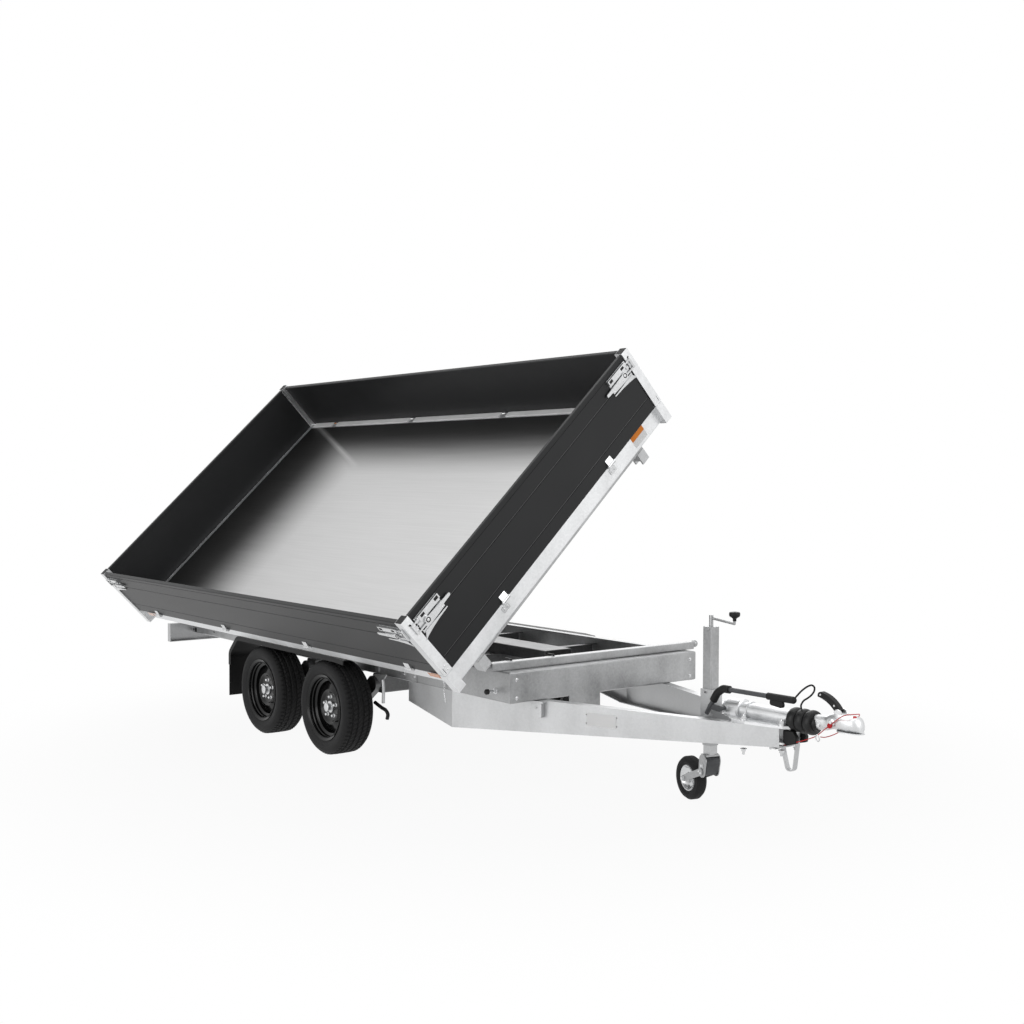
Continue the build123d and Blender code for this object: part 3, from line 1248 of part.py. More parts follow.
# Amber marker lamps on the side rims
MARKER_LENGTH = 92.0
MARKER_HEIGHT = 22.0
MARKER_DEEP = 25.0
MARKER_DROP = 13.0
REAR_MARKER = 285.0
with BuildPart(BED) as marker_lamps:
    for side in (-1, 1):
        for x in (side_front - SHEET - MARKER_LENGTH / 2, BED_REAR_X + REAR_MARKER):
            block(
                (x - MARKER_LENGTH / 2, x + MARKER_LENGTH / 2),
                (side * (web_y + SEAT), side * (web_y + MARKER_DEEP)),
                (up(RIM_TOP - MARKER_DROP - MARKER_HEIGHT), up(RIM_TOP - MARKER_DROP)),
            )
write(marker_lamps, "marker_lamps")

# Boards: name, plane whose x runs along the board and z points out of the bed, half length,
# number of hinges, their pitch, and how far the row is shifted along the board
BOARD_BOTTOM = RIM_TOP - BOARD_DROP
SIDE_MID_X = BED_FRONT_X - BED_LENGTH / 2
side_board = BED_LENGTH / 2 - POST_SIZE - BOARD_GAP
end_board = HALF_WIDTH - POST_SIZE - BOARD_GAP
face_y = HALF_WIDTH - BOARD_INSET
base = up(BOARD_BOTTOM)
BOARDS = [
    ("right", Plane((SIDE_MID_X, -face_y, base), (1, 0, 0), (0, -1, 0)), side_board, SIDE_HINGES, SIDE_HINGE_PITCH,
     SIDE_HINGE_SHIFT),
    ("left", Plane((SIDE_MID_X, face_y, base), (-1, 0, 0), (0, 1, 0)), side_board, SIDE_HINGES, SIDE_HINGE_PITCH,
     -SIDE_HINGE_SHIFT),
    ("front", Plane((BED_FRONT_X - BOARD_INSET, 0, base), (0, 1, 0), (1, 0, 0)), end_board, END_HINGES,
     END_HINGE_PITCH, 0.0),
    ("rear", Plane((BED_REAR_X + BOARD_INSET, 0, base), (0, -1, 0), (-1, 0, 0)), end_board, END_HINGES,
     END_HINGE_PITCH, 0.0),
]
BEAD_CHAMFER = 4.0
EDGE_CHAMFER = 1.5


def board_section():
    """Outline of a board across its length: x outwards from the outer face, y upwards."""
    points = [(-EDGE_CHAMFER, 0), (0, EDGE_CHAMFER)]
    for groove in GROOVE_HEIGHTS + [BOARD_HEIGHT - BEAD_HEIGHT]:
        points += [
            (0, groove - GROOVE_WIDTH / 2),
            (-GROOVE_DEPTH, groove - GROOVE_WIDTH / 4),
            (-GROOVE_DEPTH, groove + GROOVE_WIDTH / 4),
            (0, groove + GROOVE_WIDTH / 2),
        ]
    points += [(0, BOARD_HEIGHT - BEAD_CHAMFER), (-BEAD_CHAMFER, BOARD_HEIGHT)]
    points += [(-BOARD_THICK + BEAD_CHAMFER, BOARD_HEIGHT), (-BOARD_THICK, BOARD_HEIGHT - BEAD_CHAMFER)]
    points += [
        (-BOARD_THICK, BOARD_HEIGHT - BEAD_HEIGHT),
        (-BOARD_THICK + GROOVE_DEPTH, BOARD_HEIGHT - BEAD_HEIGHT),
    ]
    points += [(-BOARD_THICK + GROOVE_DEPTH, EDGE_CHAMFER), (-BOARD_THICK + GROOVE_DEPTH + EDGE_CHAMFER, 0)]
    return points


# Hinge axis, in a board's plane: y upwards from its lower edge, and z outwards from its face
hinge_y = BOARD_DROP - HINGE_DROP
hinge_z = BOARD_INSET + HINGE_OUT
LEAF_HEIGHT = 40.0
LEAF_THICK = 3.0
CHEEK_THICK = 5.0
CHEEK_GAP = 0.5
CHEEK_RADIUS = 8.0
STRIP_TOP = -10.0
STRIP_BOTTOM = -14.0


def hinge_places(count, pitch, shift):
    """Middles of a board's hinges along it, from the board's middle."""
    return [(i - (count - 1) / 2) * pitch + shift for i in range(count)]


def across(face, x):
    """Plane across a board at x along it: its x points outwards and its y upwards."""
    flat = Plane(face.from_local_coords((x, 0, 0)), face.z_dir, -face.x_dir)
    return tipped(flat)


for name, face, half, count, pitch, shift in BOARDS:
    with BuildPart() as board:
        prism(across(face, half), board_section(), 2 * half)
        for x in hinge_places(count, pitch, shift):
            # Leaf on the outer face, rolled into a barrel round the pin
            start = across(face, x + HINGE_LENGTH / 2)
            prism(
                start,
                [
                    (0, hinge_y),
                    (0, LEAF_HEIGHT),
                    (LEAF_THICK, LEAF_HEIGHT),
                    (hinge_z, hinge_y + HINGE_BARREL),
                ],
                HINGE_LENGTH,
            )
            link(start, [(hinge_z, hinge_y, HINGE_BARREL)], HINGE_LENGTH)
            link(start, [(hinge_z, hinge_y, HINGE_BORE)], HINGE_LENGTH, Mode.SUBTRACT)
    write(board, f"board_{name}")

# Hinge brackets on the rims: a strip under the board, two cheeks and the pin
with BuildPart() as hinge_brackets:
    for name, face, half, count, pitch, shift in BOARDS:
        for x in hinge_places(count, pitch, shift):
            span = HINGE_LENGTH + 2 * (CHEEK_THICK + CHEEK_GAP)
            start = across(face, x + span / 2)
            rim_z = BOARD_INSET - RIM_INSET
            prism(
                start,
                [
                    (rim_z, hinge_y + STRIP_TOP), (rim_z, hinge_y + STRIP_BOTTOM),
                    (hinge_z, hinge_y + STRIP_BOTTOM), (hinge_z, hinge_y + STRIP_TOP)
                ],
                span,
            )
            link(start, [(hinge_z, hinge_y, HINGE_PIN)], span)
            for cheek in (0.0, span - CHEEK_THICK):
                link(
                    start.offset(cheek),
                    [(hinge_z, hinge_y, CHEEK_RADIUS), (hinge_z - 4.0, hinge_y + STRIP_BOTTOM + 4.0, 4.0)],
                    CHEEK_THICK,
                )
write(hinge_brackets, "hinge_brackets")

# Latches: a plate, a bar, a cam with its lever, and a yoke that reaches over the post.
# Places are given as b from the post's outer corner and c from the post's bottom.
LATCH_PLATE = [(62.0, 348.0), (227.0, 357.0), (227.0, 440.0), (62.0, 440.0)]
LATCH_BAR = [(80.0, 413.0), (229.0, 413.0), (229.0, 439.0), (80.0, 439.0)]
LATCH_LINKS = [
    # circles as (b, c, radius), and the heights above the board's face between which the link lies
    ([(114.0, 384.0, 19.0)], 4.0, 16.0),
    ([(114.0, 384.0, 14.0), (272.0, 385.0, 8.0)], 9.0, 16.0),
    ([(114.0, 377.0, 4.0), (36.0, 377.0, 4.0)], 7.0, 14.0),
    ([(92.0, 425.0, 4.0), (36.0, 425.0, 4.0)], 7.0, 14.0),
    ([(34.0, 376.0, 6.0), (34.0, 426.0, 6.0)], 7.0, 16.0),
]
PLATE_HIGH = 4.0
BAR_HIGH = 17.0
for name, face, half, count, pitch, shift in BOARDS:
    with BuildPart() as latches:
        for end in (-1, 1):

            def placed(b, c):
                return end * (half + BOARD_GAP + POST_SIZE - b), c - (BOARD_BOTTOM - BED_BOTTOM)

            prism(tipped(face), [placed(b, c) for b, c in LATCH_PLATE], PLATE_HIGH)
            prism(tipped(face), [placed(b, c) for b, c in LATCH_BAR], BAR_HIGH)
            for circles, low, high in LATCH_LINKS:
                link(
                    tipped(face).offset(low),
                    [(*placed(b, c), radius) for b, c, radius in circles],
                    high - low,
                )
    write(latches, f"latches_{name}")

# Lift cylinder: barrel in a gimbal ring, a stage, and a rod whose ball seats in the bed's socket
reach_low = RAM_EYE_HEIGHT - RAM_PIVOT_HEIGHT
eye = TIP * Pos(RAM_X, 0, up(RAM_EYE_HEIGHT))
lean_y = eye.position.Y
lean_z = eye.position.Z - up(RAM_PIVOT_HEIGHT)
reach_tipped = math.hypot(lean_y, lean_z)
STROKE = (reach_tipped - reach_low) / 2
RAM = Plane(
    origin=(RAM_X, 0, up(RAM_PIVOT_HEIGHT)),
    x_dir=(1, 0, 0),
    z_dir=(0, lean_y / reach_tipped, lean_z / reach_tipped),
)
GIMBAL_SIZE = 170.0
GIMBAL_HIGH = 30.0
TRUNNION_RADIUS = 12.0
TRUNNION_REACH = 120.0
BARREL_FLOOR = 15.0
with BuildPart() as cylinder_barrel:
    with BuildSketch(RAM.offset(-BARREL_HALF)):
        Circle(BARREL_RADIUS)
    extrude(amount=2 * BARREL_HALF)
    with BuildSketch(RAM.offset(-BARREL_HALF + BARREL_FLOOR)):
        Circle(BARREL_RADIUS - BARREL_WALL)
    extrude(amount=2 * BARREL_HALF, mode=Mode.SUBTRACT)
    with BuildSketch(RAM.offset(-GIMBAL_HIGH / 2)):
        RectangleRounded(GIMBAL_SIZE, GIMBAL_SIZE, GIMBAL_HIGH)
        Circle(BARREL_RADIUS - 2.0, mode=Mode.SUBTRACT)
    extrude(amount=GIMBAL_HIGH)
    for sign in (-1, 1):
        near = RAM_X + sign * (BARREL_RADIUS + BARREL_FLOOR)
        rod(
            (near, 0, up(RAM_PIVOT_HEIGHT)),
            (RAM_X + sign * TRUNNION_REACH, 0, up(RAM_PIVOT_HEIGHT)),
            TRUNNION_RADIUS,
        )
write(cylinder_barrel, "cylinder_barrel")

STAGE_LIFT = 5.0
stage_foot = -BARREL_HALF + BARREL_FLOOR + STAGE_LIFT
stage_radius = BARREL_RADIUS - BARREL_WALL - STAGE_GAP
with BuildPart() as cylinder_stage:
    with BuildSketch(RAM.offset(stage_foot + STROKE)):
        Circle(stage_radius)
        Circle(stage_radius - STAGE_WALL, mode=Mode.SUBTRACT)
    extrude(amount=2 * BARREL_HALF)
write(cylinder_stage, "cylinder_stage")

rod_radius = stage_radius - STAGE_WALL - STAGE_GAP
with BuildPart() as cylinder_rod:
    rod_foot = stage_foot + 2 * STROKE + STAGE_LIFT
    with BuildSketch(RAM.offset(rod_foot)):
        Circle(rod_radius)
    extrude(amount=reach_tipped - RAM_BALL_RADIUS / 1.2 - rod_foot)
    with Locations(RAM.offset(reach_tipped).location):
        Sphere(RAM_BALL_RADIUS)
write(cylinder_rod, "cylinder_rod")

# Cradle: two plates across the gap between the middle cross members
CRADLE_INNER = 95.0
CRADLE_PLATE = 12.0
CRADLE_HALF = 60.0
CRADLE_DEPTH = 35.0
with BuildPart() as cylinder_cradle:
    cradle_top = up(CROSS_BOTTOM + 80.0)
    for sign in (-1, 1):
        near = RAM_X + sign * CRADLE_INNER
        far = near + sign * CRADLE_PLATE
        ys = (-CRADLE_HALF, CRADLE_HALF)
        block((near, far), ys, (up(RAM_PIVOT_HEIGHT) - CRADLE_DEPTH, cradle_top))
        block((far, RAM_X + sign * CRADLE_REACH), ys, (cradle_top - CRADLE_PLATE, cradle_top))
        hole = TRUNNION_RADIUS + SEAT
        rod(
            (near - sign, 0, up(RAM_PIVOT_HEIGHT)),
            (far + sign, 0, up(RAM_PIVOT_HEIGHT)),
            hole,
            Mode.SUBTRACT,
        )
write(cylinder_cradle, "cylinder_cradle")

# Socket under the bearers: a plate with a boss, hollowed by a shallow pan over the rod's ball
PAN_ANGLE = 40.0
BOSS_RADIUS = 40.0
SOCKET_PLATE = 8.0
pan_radius = RAM_BALL_RADIUS + STAGE_GAP
pan_bottom = up(RAM_EYE_HEIGHT) + pan_radius * math.cos(math.radians(PAN_ANGLE))
with BuildPart(BED) as ram_socket:
    plate_half = RAM_BEARER + BEARER_WIDTH / 2
    block((RAM_X - plate_half, RAM_X + plate_half), (-CRADLE_HALF, CRADLE_HALF),
          (up(BEARER_BOTTOM) - SOCKET_PLATE, up(BEARER_BOTTOM)))
    with Locations((RAM_X, 0, pan_bottom)):
        Cylinder(BOSS_RADIUS, up(BEARER_BOTTOM) - SOCKET_PLATE / 2 - pan_bottom, align=BASE_ALIGN)
    with Locations((RAM_X, 0, up(RAM_EYE_HEIGHT))):
        Sphere(pan_radius, mode=Mode.SUBTRACT)
write(ram_socket, "ram_socket")
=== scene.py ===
# %% [markdown]
# # Dressing a three-way tipping trailer
# The trailer is a galvanised frame on two axles, with a steel bed whose sides are folded sheet boards. Its
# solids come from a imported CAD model, the frame of this scene, and they already stand where they belong,
# in metres, with the tow ball at the origin, +X forward, +Y to the left and +Z up. This notebook adds what
# the solids leave out: tread, bolts, pins on their chains, brake pipes, blank stickers, and a finish for
# every surface.

# %% Load the frame
import bmesh
import bpy
import json
import math
import numpy as np
from mathutils import Matrix, Vector


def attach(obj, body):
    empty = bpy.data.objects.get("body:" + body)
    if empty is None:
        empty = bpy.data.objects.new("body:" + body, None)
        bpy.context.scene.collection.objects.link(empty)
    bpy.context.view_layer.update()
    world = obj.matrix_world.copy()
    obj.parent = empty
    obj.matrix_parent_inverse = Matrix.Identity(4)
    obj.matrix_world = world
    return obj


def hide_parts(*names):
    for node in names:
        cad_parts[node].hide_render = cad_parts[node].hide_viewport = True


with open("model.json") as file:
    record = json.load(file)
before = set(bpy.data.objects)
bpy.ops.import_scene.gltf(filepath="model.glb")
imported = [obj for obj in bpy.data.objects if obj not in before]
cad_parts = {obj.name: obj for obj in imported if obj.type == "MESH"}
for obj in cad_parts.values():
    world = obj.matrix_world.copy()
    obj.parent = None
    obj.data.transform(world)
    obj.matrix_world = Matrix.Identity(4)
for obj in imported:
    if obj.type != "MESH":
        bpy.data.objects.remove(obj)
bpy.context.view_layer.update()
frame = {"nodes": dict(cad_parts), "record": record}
nodes = frame["nodes"]

# %% [markdown]
# ## Heights and the tipped bed
# Heights on a trailer are given above the ground, while the frame's origin is the tow ball. The bed is
# tipped about the line through its two right-hand balls, so a point that is named on the lowered bed is
# turned about that line.

# %% Heights, and the turn of the bed
BALL_HEIGHT = 0.490
PIVOT_Y = -0.727
PIVOT_Z = 0.626 - BALL_HEIGHT
TIP = math.radians(43.86)


def up(height):
    """Z of a height above the ground, or of an array of heights."""
    return height - BALL_HEIGHT


def tipped(points):
    """Points of the lowered bed, turned with it: x stays, and (y, z) turns by TIP about the pivot line."""
    p = np.asarray(points, float).copy()
    y, z = p[..., 1] - PIVOT_Y, p[..., 2] - PIVOT_Z
    p[..., 1] = PIVOT_Y + math.cos(TIP) * y - math.sin(TIP) * z
    p[..., 2] = PIVOT_Z + math.sin(TIP) * y + math.cos(TIP) * z
    return p


# %% [markdown]
# ## The camera
# The photograph was taken from the right of the drawbar, a little above the eye of a person who crouches.
# Its place and lens were fitted to corners of the bed, the frame and the wheels. Blender's lens shift
# takes the small distance between the middle of the picture and the point that the lens looks at.

# %% Camera at the photograph's place
CAMERA_PLACE = (3.4014, -4.5111, 1.554 - BALL_HEIGHT)
CAMERA_YAW = math.radians(142.168)
CAMERA_PITCH = math.radians(-1.5904)
CAMERA_ROLL = math.radians(0.1837)
FOCAL_PIXELS = 1295.65
PICTURE = 1024
AXIS_PIXEL = (500.19, 511.28)
SENSOR = 36.0


def camera_axes(yaw, pitch, roll):
    """Right, up and forward of a camera: forward from two angles, then the others turned by the roll."""
    forward = np.array([math.cos(yaw) * math.cos(pitch), math.sin(yaw) * math.cos(pitch), math.sin(pitch)])
    level = np.cross(forward, (0, 0, 1))
    level /= np.linalg.norm(level)
    above = np.cross(level, forward)
    right = level * math.cos(roll) + above * math.sin(roll)
    return right, np.cross(right, forward), forward


right, above, forward = camera_axes(CAMERA_YAW, CAMERA_PITCH, CAMERA_ROLL)
camera = bpy.data.objects.new("camera", bpy.data.cameras.new("camera"))
bpy.context.scene.collection.objects.link(camera)
bpy.context.scene.camera = camera
standing = np.eye(4)
standing[:3] = np.column_stack([right, above, -forward, CAMERA_PLACE])
camera.matrix_world = Matrix(standing.tolist())
camera.data.sensor_width = SENSOR
camera.data.lens = FOCAL_PIXELS / PICTURE * SENSOR
camera.data.shift_x = (PICTURE / 2 - AXIS_PIXEL[0]) / PICTURE
camera.data.shift_y = (AXIS_PIXEL[1] - PICTURE / 2) / PICTURE
camera.data.clip_end = 200.0
print("lens", round(camera.data.lens, 2), "mm")

# %% [markdown]
# ## Nodes in code
# A material and a world are trees of nodes. Adding each node takes four lines, so a helper does it in one.
# A second helper does one step of arithmetic, and a third tells the rays that make the picture (seen by
# the camera, mirrored or seen through) from the rays that only carry light.

# %% Node helpers


def wire(tree, kind, place=(0, 0), **values):
    """Adds a node. Keyword values set its properties, or its inputs when they are named in_<index>."""
    node = tree.nodes.new(kind)
    node.location = place
    for key, value in values.items():
        if key.startswith("in_"):
            node.inputs[int(key[3:])].default_value = value
        else:
            setattr(node, key, value)
    return node


def maths(tree, operation, first, second=0.0, place=(0, 0)):
    """One step of arithmetic, operation(first, second), between numbers or outputs of a tree."""
    node = wire(tree, "ShaderNodeMath", place, operation=operation)
    for k, value in enumerate((first, second)):
        if isinstance(value, bpy.types.NodeSocket):
            tree.links.new(value, node.inputs[k])
        else:
            node.inputs[k].default_value = value
    return node.outputs[0]


def watched(tree):
    """1 for a ray from the camera, from a mirror or through glass, and 0 for one that only carries light."""
    path = wire(tree, "ShaderNodeLightPath", (-900, 200))
    seen = maths(tree, "MAXIMUM", path.outputs["Is Camera Ray"], path.outputs["Is Glossy Ray"], (-700, 200))
    return maths(tree, "MAXIMUM", seen, path.outputs["Is Transmission Ray"], (-550, 200))


# %% [markdown]
# ## The surround
# A studio for large products is a white tent. Lit walls could give that white, but a world of one colour
# costs no render time. It is full white for the rays that make the picture, and dimmer for those that
# light the trailer, because an all-white world washes out the shadows under the frame.

# %% The world
AMBIENT = 0.36
bpy.context.scene.view_settings.view_transform = "Standard"
world = bpy.data.worlds.new("studio")
bpy.context.scene.world = world
world.use_nodes = True
tree = world.node_tree
tree.nodes.clear()
strength = wire(tree, "ShaderNodeMapRange", (-40, 0), in_3=AMBIENT, in_4=1.0)
background = wire(tree, "ShaderNodeBackground", (160, 0), in_0=(1, 1, 1, 1))
output = wire(tree, "ShaderNodeOutputWorld", (340, 0))
tree.links.new(watched(tree), strength.inputs[0])
tree.links.new(strength.outputs[0], background.inputs[1])
tree.links.new(background.outputs[0], output.inputs[0])
print("light of the surround", AMBIENT)

# %% [markdown]
# ## The floor
# The floor has to look white and still show where the wheels stand. A lit floor alone would be grey, and a
# glowing one would lose the shadow, so this one mixes both: the glow is for the rays that make the
# picture, and it grows from most of the mix near the trailer to all of it far away.

# %% The floor
FLOOR_TINT = (0.50, 0.50, 0.50, 1)
FLOOR_GLOW = 0.93
FLOOR_HALF = 60.0
FLOOR_MIDDLE = (-2.4, 0.0, up(0.0))
GLOW_FROM, GLOW_TO = 1.6, 3.6
corners = [(x * FLOOR_HALF, y * FLOOR_HALF, up(0.0)) for x, y in ((-1, -1), (1, -1), (1, 1), (-1, 1))]
floor_mesh = bpy.data.meshes.new("floor")
floor_mesh.from_pydata(corners, [], [(0, 1, 2, 3)])
floor = bpy.data.objects.new("floor", floor_mesh)
bpy.context.scene.collection.objects.link(floor)
floor_paint = bpy.data.materials.new("floor_paint")
floor_paint.use_nodes = True
tree = floor_paint.node_tree
tree.nodes.clear()
where = wire(tree, "ShaderNodeTexCoord", (-1300, -200))
centred = wire(tree, "ShaderNodeVectorMath", (-1100, -200), operation="DISTANCE", in_1=FLOOR_MIDDLE)
far = wire(tree, "ShaderNodeMapRange", (-900, -200), interpolation_type="SMOOTHSTEP", in_1=GLOW_FROM,
           in_2=GLOW_TO, in_3=FLOOR_GLOW, in_4=1.0)
matt = wire(tree, "ShaderNodeBsdfDiffuse", (-200, 100), in_0=FLOOR_TINT)
glow = wire(tree, "ShaderNodeEmission", (-200, -100), in_0=(1, 1, 1, 1), in_1=1.0)
mix = wire(tree, "ShaderNodeMixShader", (0, 0))
output = wire(tree, "ShaderNodeOutputMaterial", (200, 0))
tree.links.new(where.outputs["Object"], centred.inputs[0])
tree.links.new(centred.outputs["Value"], far.inputs[0])
tree.links.new(maths(tree, "MULTIPLY", watched(tree), far.outputs[0], (-400, 0)), mix.inputs[0])
tree.links.new(matt.outputs[0], mix.inputs[1])
tree.links.new(glow.outputs[0], mix.inputs[2])
tree.links.new(mix.outputs[0], output.inputs[0])
floor_mesh.materials.append(floor_paint)
print("floor", 2 * FLOOR_HALF, "m wide, at", FLOOR_MIDDLE[2], "m")

# %% [markdown]
# ## The lamps
# Zinc shows what it mirrors, so lamps for a galvanised trailer are large and weak: a small strong one
# would burn a white spot into every flat face. One lamp hangs above, one stands at the side of the camera,
# one lights the faces that look forward, and one keeps the rear from going dark.

# %% Four area lamps
LAMPS = [
    # name, place, the point it faces, width, power in watts
    ("lamp_top", (-2.4, 0.0, 6.5), (-2.4, 0.0, 0.0), 8.0, 190.0),
    ("lamp_side", (-2.2, -7.2, 2.0), (-2.2, 0.0, 0.4), 5.0, 165.0),
    ("lamp_front", (4.6, 1.4, 2.8), (-1.6, 0.0, 0.7), 4.0, 105.0),
    ("lamp_rear", (-6.5, 4.5, 3.6), (-2.6, 0.0, 0.5), 4.5, 110.0),
]
for name, place, faces, width, power in LAMPS:
    lamp = bpy.data.objects.new(name, bpy.data.lights.new(name, "AREA"))
    lamp.data.size = width
    lamp.data.energy = power
    lamp.location = place
    lamp.rotation_mode = "QUATERNION"
    lamp.rotation_quaternion = (Vector(faces) - Vector(place)).to_track_quat("-Z", "Y")
    bpy.context.scene.collection.objects.link(lamp)
    print(name, "radiance", round(power / (math.pi * width**2), 2))

# %% [markdown]
# ## Finishes
# Every finish is a Principled shader. A plain grey would look like plastic, so each one gets what the real
# surface has. Patterns read Object coordinates, which are the trailer's own metres, so a pattern keeps its
# real size on every piece. The helpers make a material, read a pattern, spread it over a range, and drive
# colour or relief.

# %% Material helpers


def paint(name, colour, metallic=0.0, roughness=0.5, **sockets):
    """A Principled material, its tree and its shader. Other sockets are given by name, with _ for a space."""
    made = bpy.data.materials.new(name)
    made.use_nodes = True
    made.node_tree.nodes.clear()
    shader = wire(made.node_tree, "ShaderNodeBsdfPrincipled", (300, 0))
    out = wire(made.node_tree, "ShaderNodeOutputMaterial", (600, 0))
    made.node_tree.links.new(shader.outputs[0], out.inputs[0])
    shader.inputs["Base Color"].default_value = (*colour, 1)
    shader.inputs["Metallic"].default_value = metallic
    shader.inputs["Roughness"].default_value = roughness
    for key, value in sockets.items():
        shader.inputs[key.replace("_", " ")].default_value = value
    return made, made.node_tree, shader


def stretched(tree, scale, place=(-1100, 0)):
    """Object coordinates, scaled on each axis, as the input of a pattern."""
    where = wire(tree, "ShaderNodeTexCoord", (place[0] - 200, place[1]))
    mapping = wire(tree, "ShaderNodeMapping", place)
    mapping.inputs["Scale"].default_value = scale
    tree.links.new(where.outputs["Object"], mapping.inputs["Vector"])
    return mapping.outputs[0]


def noise(tree, vector, scale, detail, place):
    """A noise pattern of a given size; its first output is a value about 0.5."""
    node = wire(tree, "ShaderNodeTexNoise", place)
    node.inputs["Scale"].default_value = scale
    node.inputs["Detail"].default_value = detail
    tree.links.new(vector, node.inputs["Vector"])
    return node.outputs["Fac"]


def spread(tree, value, low, high, place, source=(0.3, 0.7)):
    """Maps a pattern's values onto the range low to high."""
    node = wire(tree, "ShaderNodeMapRange", place, in_1=source[0], in_2=source[1], in_3=low, in_4=high)
    tree.links.new(value, node.inputs[0])
    return node.outputs[0]


def tint(tree, factor, dark, light, shader, place):
    """Drives the base colour between two colours by a pattern."""
    node = wire(tree, "ShaderNodeMix", place, data_type="RGBA")
    node.inputs[6].default_value = (*dark, 1)
    node.inputs[7].default_value = (*light, 1)
    tree.links.new(factor, node.inputs[0])
    tree.links.new(node.outputs[2], shader.inputs["Base Color"])


def relief(tree, height, shader, strength, distance, place):
    """Bump from a pattern, its depth in metres."""
    node = wire(tree, "ShaderNodeBump", place)
    node.inputs["Strength"].default_value = strength
    node.inputs["Distance"].default_value = distance
    tree.links.new(height, node.inputs["Height"])
    tree.links.new(node.outputs[0], shader.inputs["Normal"])


# %% [markdown]
# ## Hot-dip zinc
# The frame and the bed are dipped in molten zinc, which sets as a spangle of crystals under cloudy runs. A
# photograph could be wrapped over the steel, but its size would be wrong on some piece. Cells for the
# crystals and slow noise for the runs, mixed, keep their size everywhere. Pieces differ in tone alone: the
# lighter zinc of the bed's rim and posts is a painted highlight, and the darker zincs of parts in half
# shade and in deep shade are painted shade.

# %% Zinc in eight tones
finishes = {}
CELLS = 110.0
SMALL_CELLS = 260.0
CLOUDY = 0.80


def zinc(name, dark, light, rough, cells):
    """Voronoi cells (cells per metre) are the spangle; slow noise, drawn out upwards, is the bath's runs."""
    dark_tone, light_tone = ((tone, tone * 1.01, tone * 1.02) for tone in (dark, light))
    made, tree, shader = paint(name, light_tone, metallic=0.88, roughness=sum(rough) / 2)
    vector = stretched(tree, (1, 1, 1))
    crystal = wire(tree, "ShaderNodeTexVoronoi", (-800, 250))
    crystal.inputs["Scale"].default_value = cells
    tree.links.new(vector, crystal.inputs["Vector"])
    grey = wire(tree, "ShaderNodeRGBToBW", (-620, 250))
    tree.links.new(crystal.outputs["Color"], grey.inputs[0])
    runs = noise(tree, stretched(tree, (3.0, 3.0, 1.1), (-1100, -250)), 2.2, 5.0, (-800, 0))
    both = wire(tree, "ShaderNodeMix", (-400, 150), data_type="FLOAT", in_0=CLOUDY)
    tree.links.new(grey.outputs[0], both.inputs[2])
    tree.links.new(runs, both.inputs[3])
    pattern = both.outputs[0]
    share = spread(tree, pattern, 0.0, 1.0, (-200, 150), (0.2, 0.8))
    tint(tree, share, dark_tone, light_tone, shader, (0, 200))
    tree.links.new(spread(tree, pattern, *rough, (-200, -100)), shader.inputs["Roughness"])
    relief(tree, noise(tree, vector, 240.0, 3.0, (-800, -450)), shader, 0.12, 0.0006, (0, -300))
    return made


ZINCS = [
    # name, dark tone, light tone, roughness range, cells per metre
    ("galvanised_steel", 0.40, 0.60, (0.30, 0.46), CELLS),
    # painted shade: a darker zinc for parts in half shade
    ("dull_zinc", 0.28, 0.50, (0.32, 0.48), CELLS),
    ("beam_zinc", 0.44, 0.58, (0.32, 0.46), CELLS),
    # painted shade: the darkest zinc, for parts that hardly see the light
    ("shaded_zinc", 0.08, 0.19, (0.34, 0.50), CELLS),
    # painted highlight: a lighter zinc for the bed's rim, posts and hinge brackets
    ("bright_zinc", 0.64, 0.84, (0.30, 0.44), CELLS),
    ("latch_zinc", 0.52, 0.80, (0.14, 0.28), SMALL_CELLS),
    ("cast_zinc", 0.60, 0.80, (0.30, 0.46), 300.0),
    ("hub_zinc", 0.58, 0.78, (0.24, 0.40), SMALL_CELLS),
]
for name, *values in ZINCS:
    finishes[name] = zinc(name, *values)
print("zincs", len(ZINCS))

# %% [markdown]
# ## Sheet aluminium for the floor of the bed
# The floor is one rolled sheet, with hairlines along it. It mirrors the dark boards, and so it darkens
# towards the rear and the left one, and the bright corner post between them shows as a line that runs
# out of the corner. Real mirroring needs the room round the sheet, so these reflections are painted: each
# dark tone falls along a smooth step, the darker of the two wins, and the painted reflection of the post
# is a bell about a slanted line.

# %% Rolled aluminium
SHEET_REAR = -5.045
SHEET_LEFT = 0.4336
SHEET_SLOPE = 1.3868
# distances in metres where the tone starts and stops climbing, the dark tone, the light tone
REAR_FALL = (0.35, 1.21, 0.060, 0.630)
LEFT_FALL = (0.15, 0.56, 0.060, 0.610)
LINE_SLOPE = 0.414
LINE_HALF = 0.030
LINE_TONE = 0.34
LINE_ENDS = (0.70, 1.15)


def fall(tree, distance, start, stop, dark, light, place):
    """A tone that climbs from dark to light, as 3 t^2 - 2 t^3 of the way from the start to the stop."""
    node = wire(tree, "ShaderNodeMapRange", place, interpolation_type="SMOOTHSTEP", in_1=start, in_2=stop,
                in_3=dark, in_4=light)
    tree.links.new(distance, node.inputs[0])
    return node.outputs[0]


made, tree, shader = paint("floor_aluminium", (0.60, 0.605, 0.61), metallic=0.95, roughness=0.40)
lines = noise(tree, stretched(tree, (2.0, 120.0, 120.0)), 1.0, 4.0, (-1100, -100))
where = wire(tree, "ShaderNodeTexCoord", (-2000, 500))
parted = wire(tree, "ShaderNodeSeparateXYZ", (-1800, 500))
tree.links.new(where.outputs["Object"], parted.inputs[0])
from_rear = maths(tree, "SUBTRACT", parted.outputs["X"], SHEET_REAR, (-1600, 600))
slanted = maths(tree, "MULTIPLY", parted.outputs["Y"], SHEET_SLOPE, (-1600, 400))
from_left = maths(tree, "SUBTRACT", SHEET_LEFT, slanted, (-1400, 400))
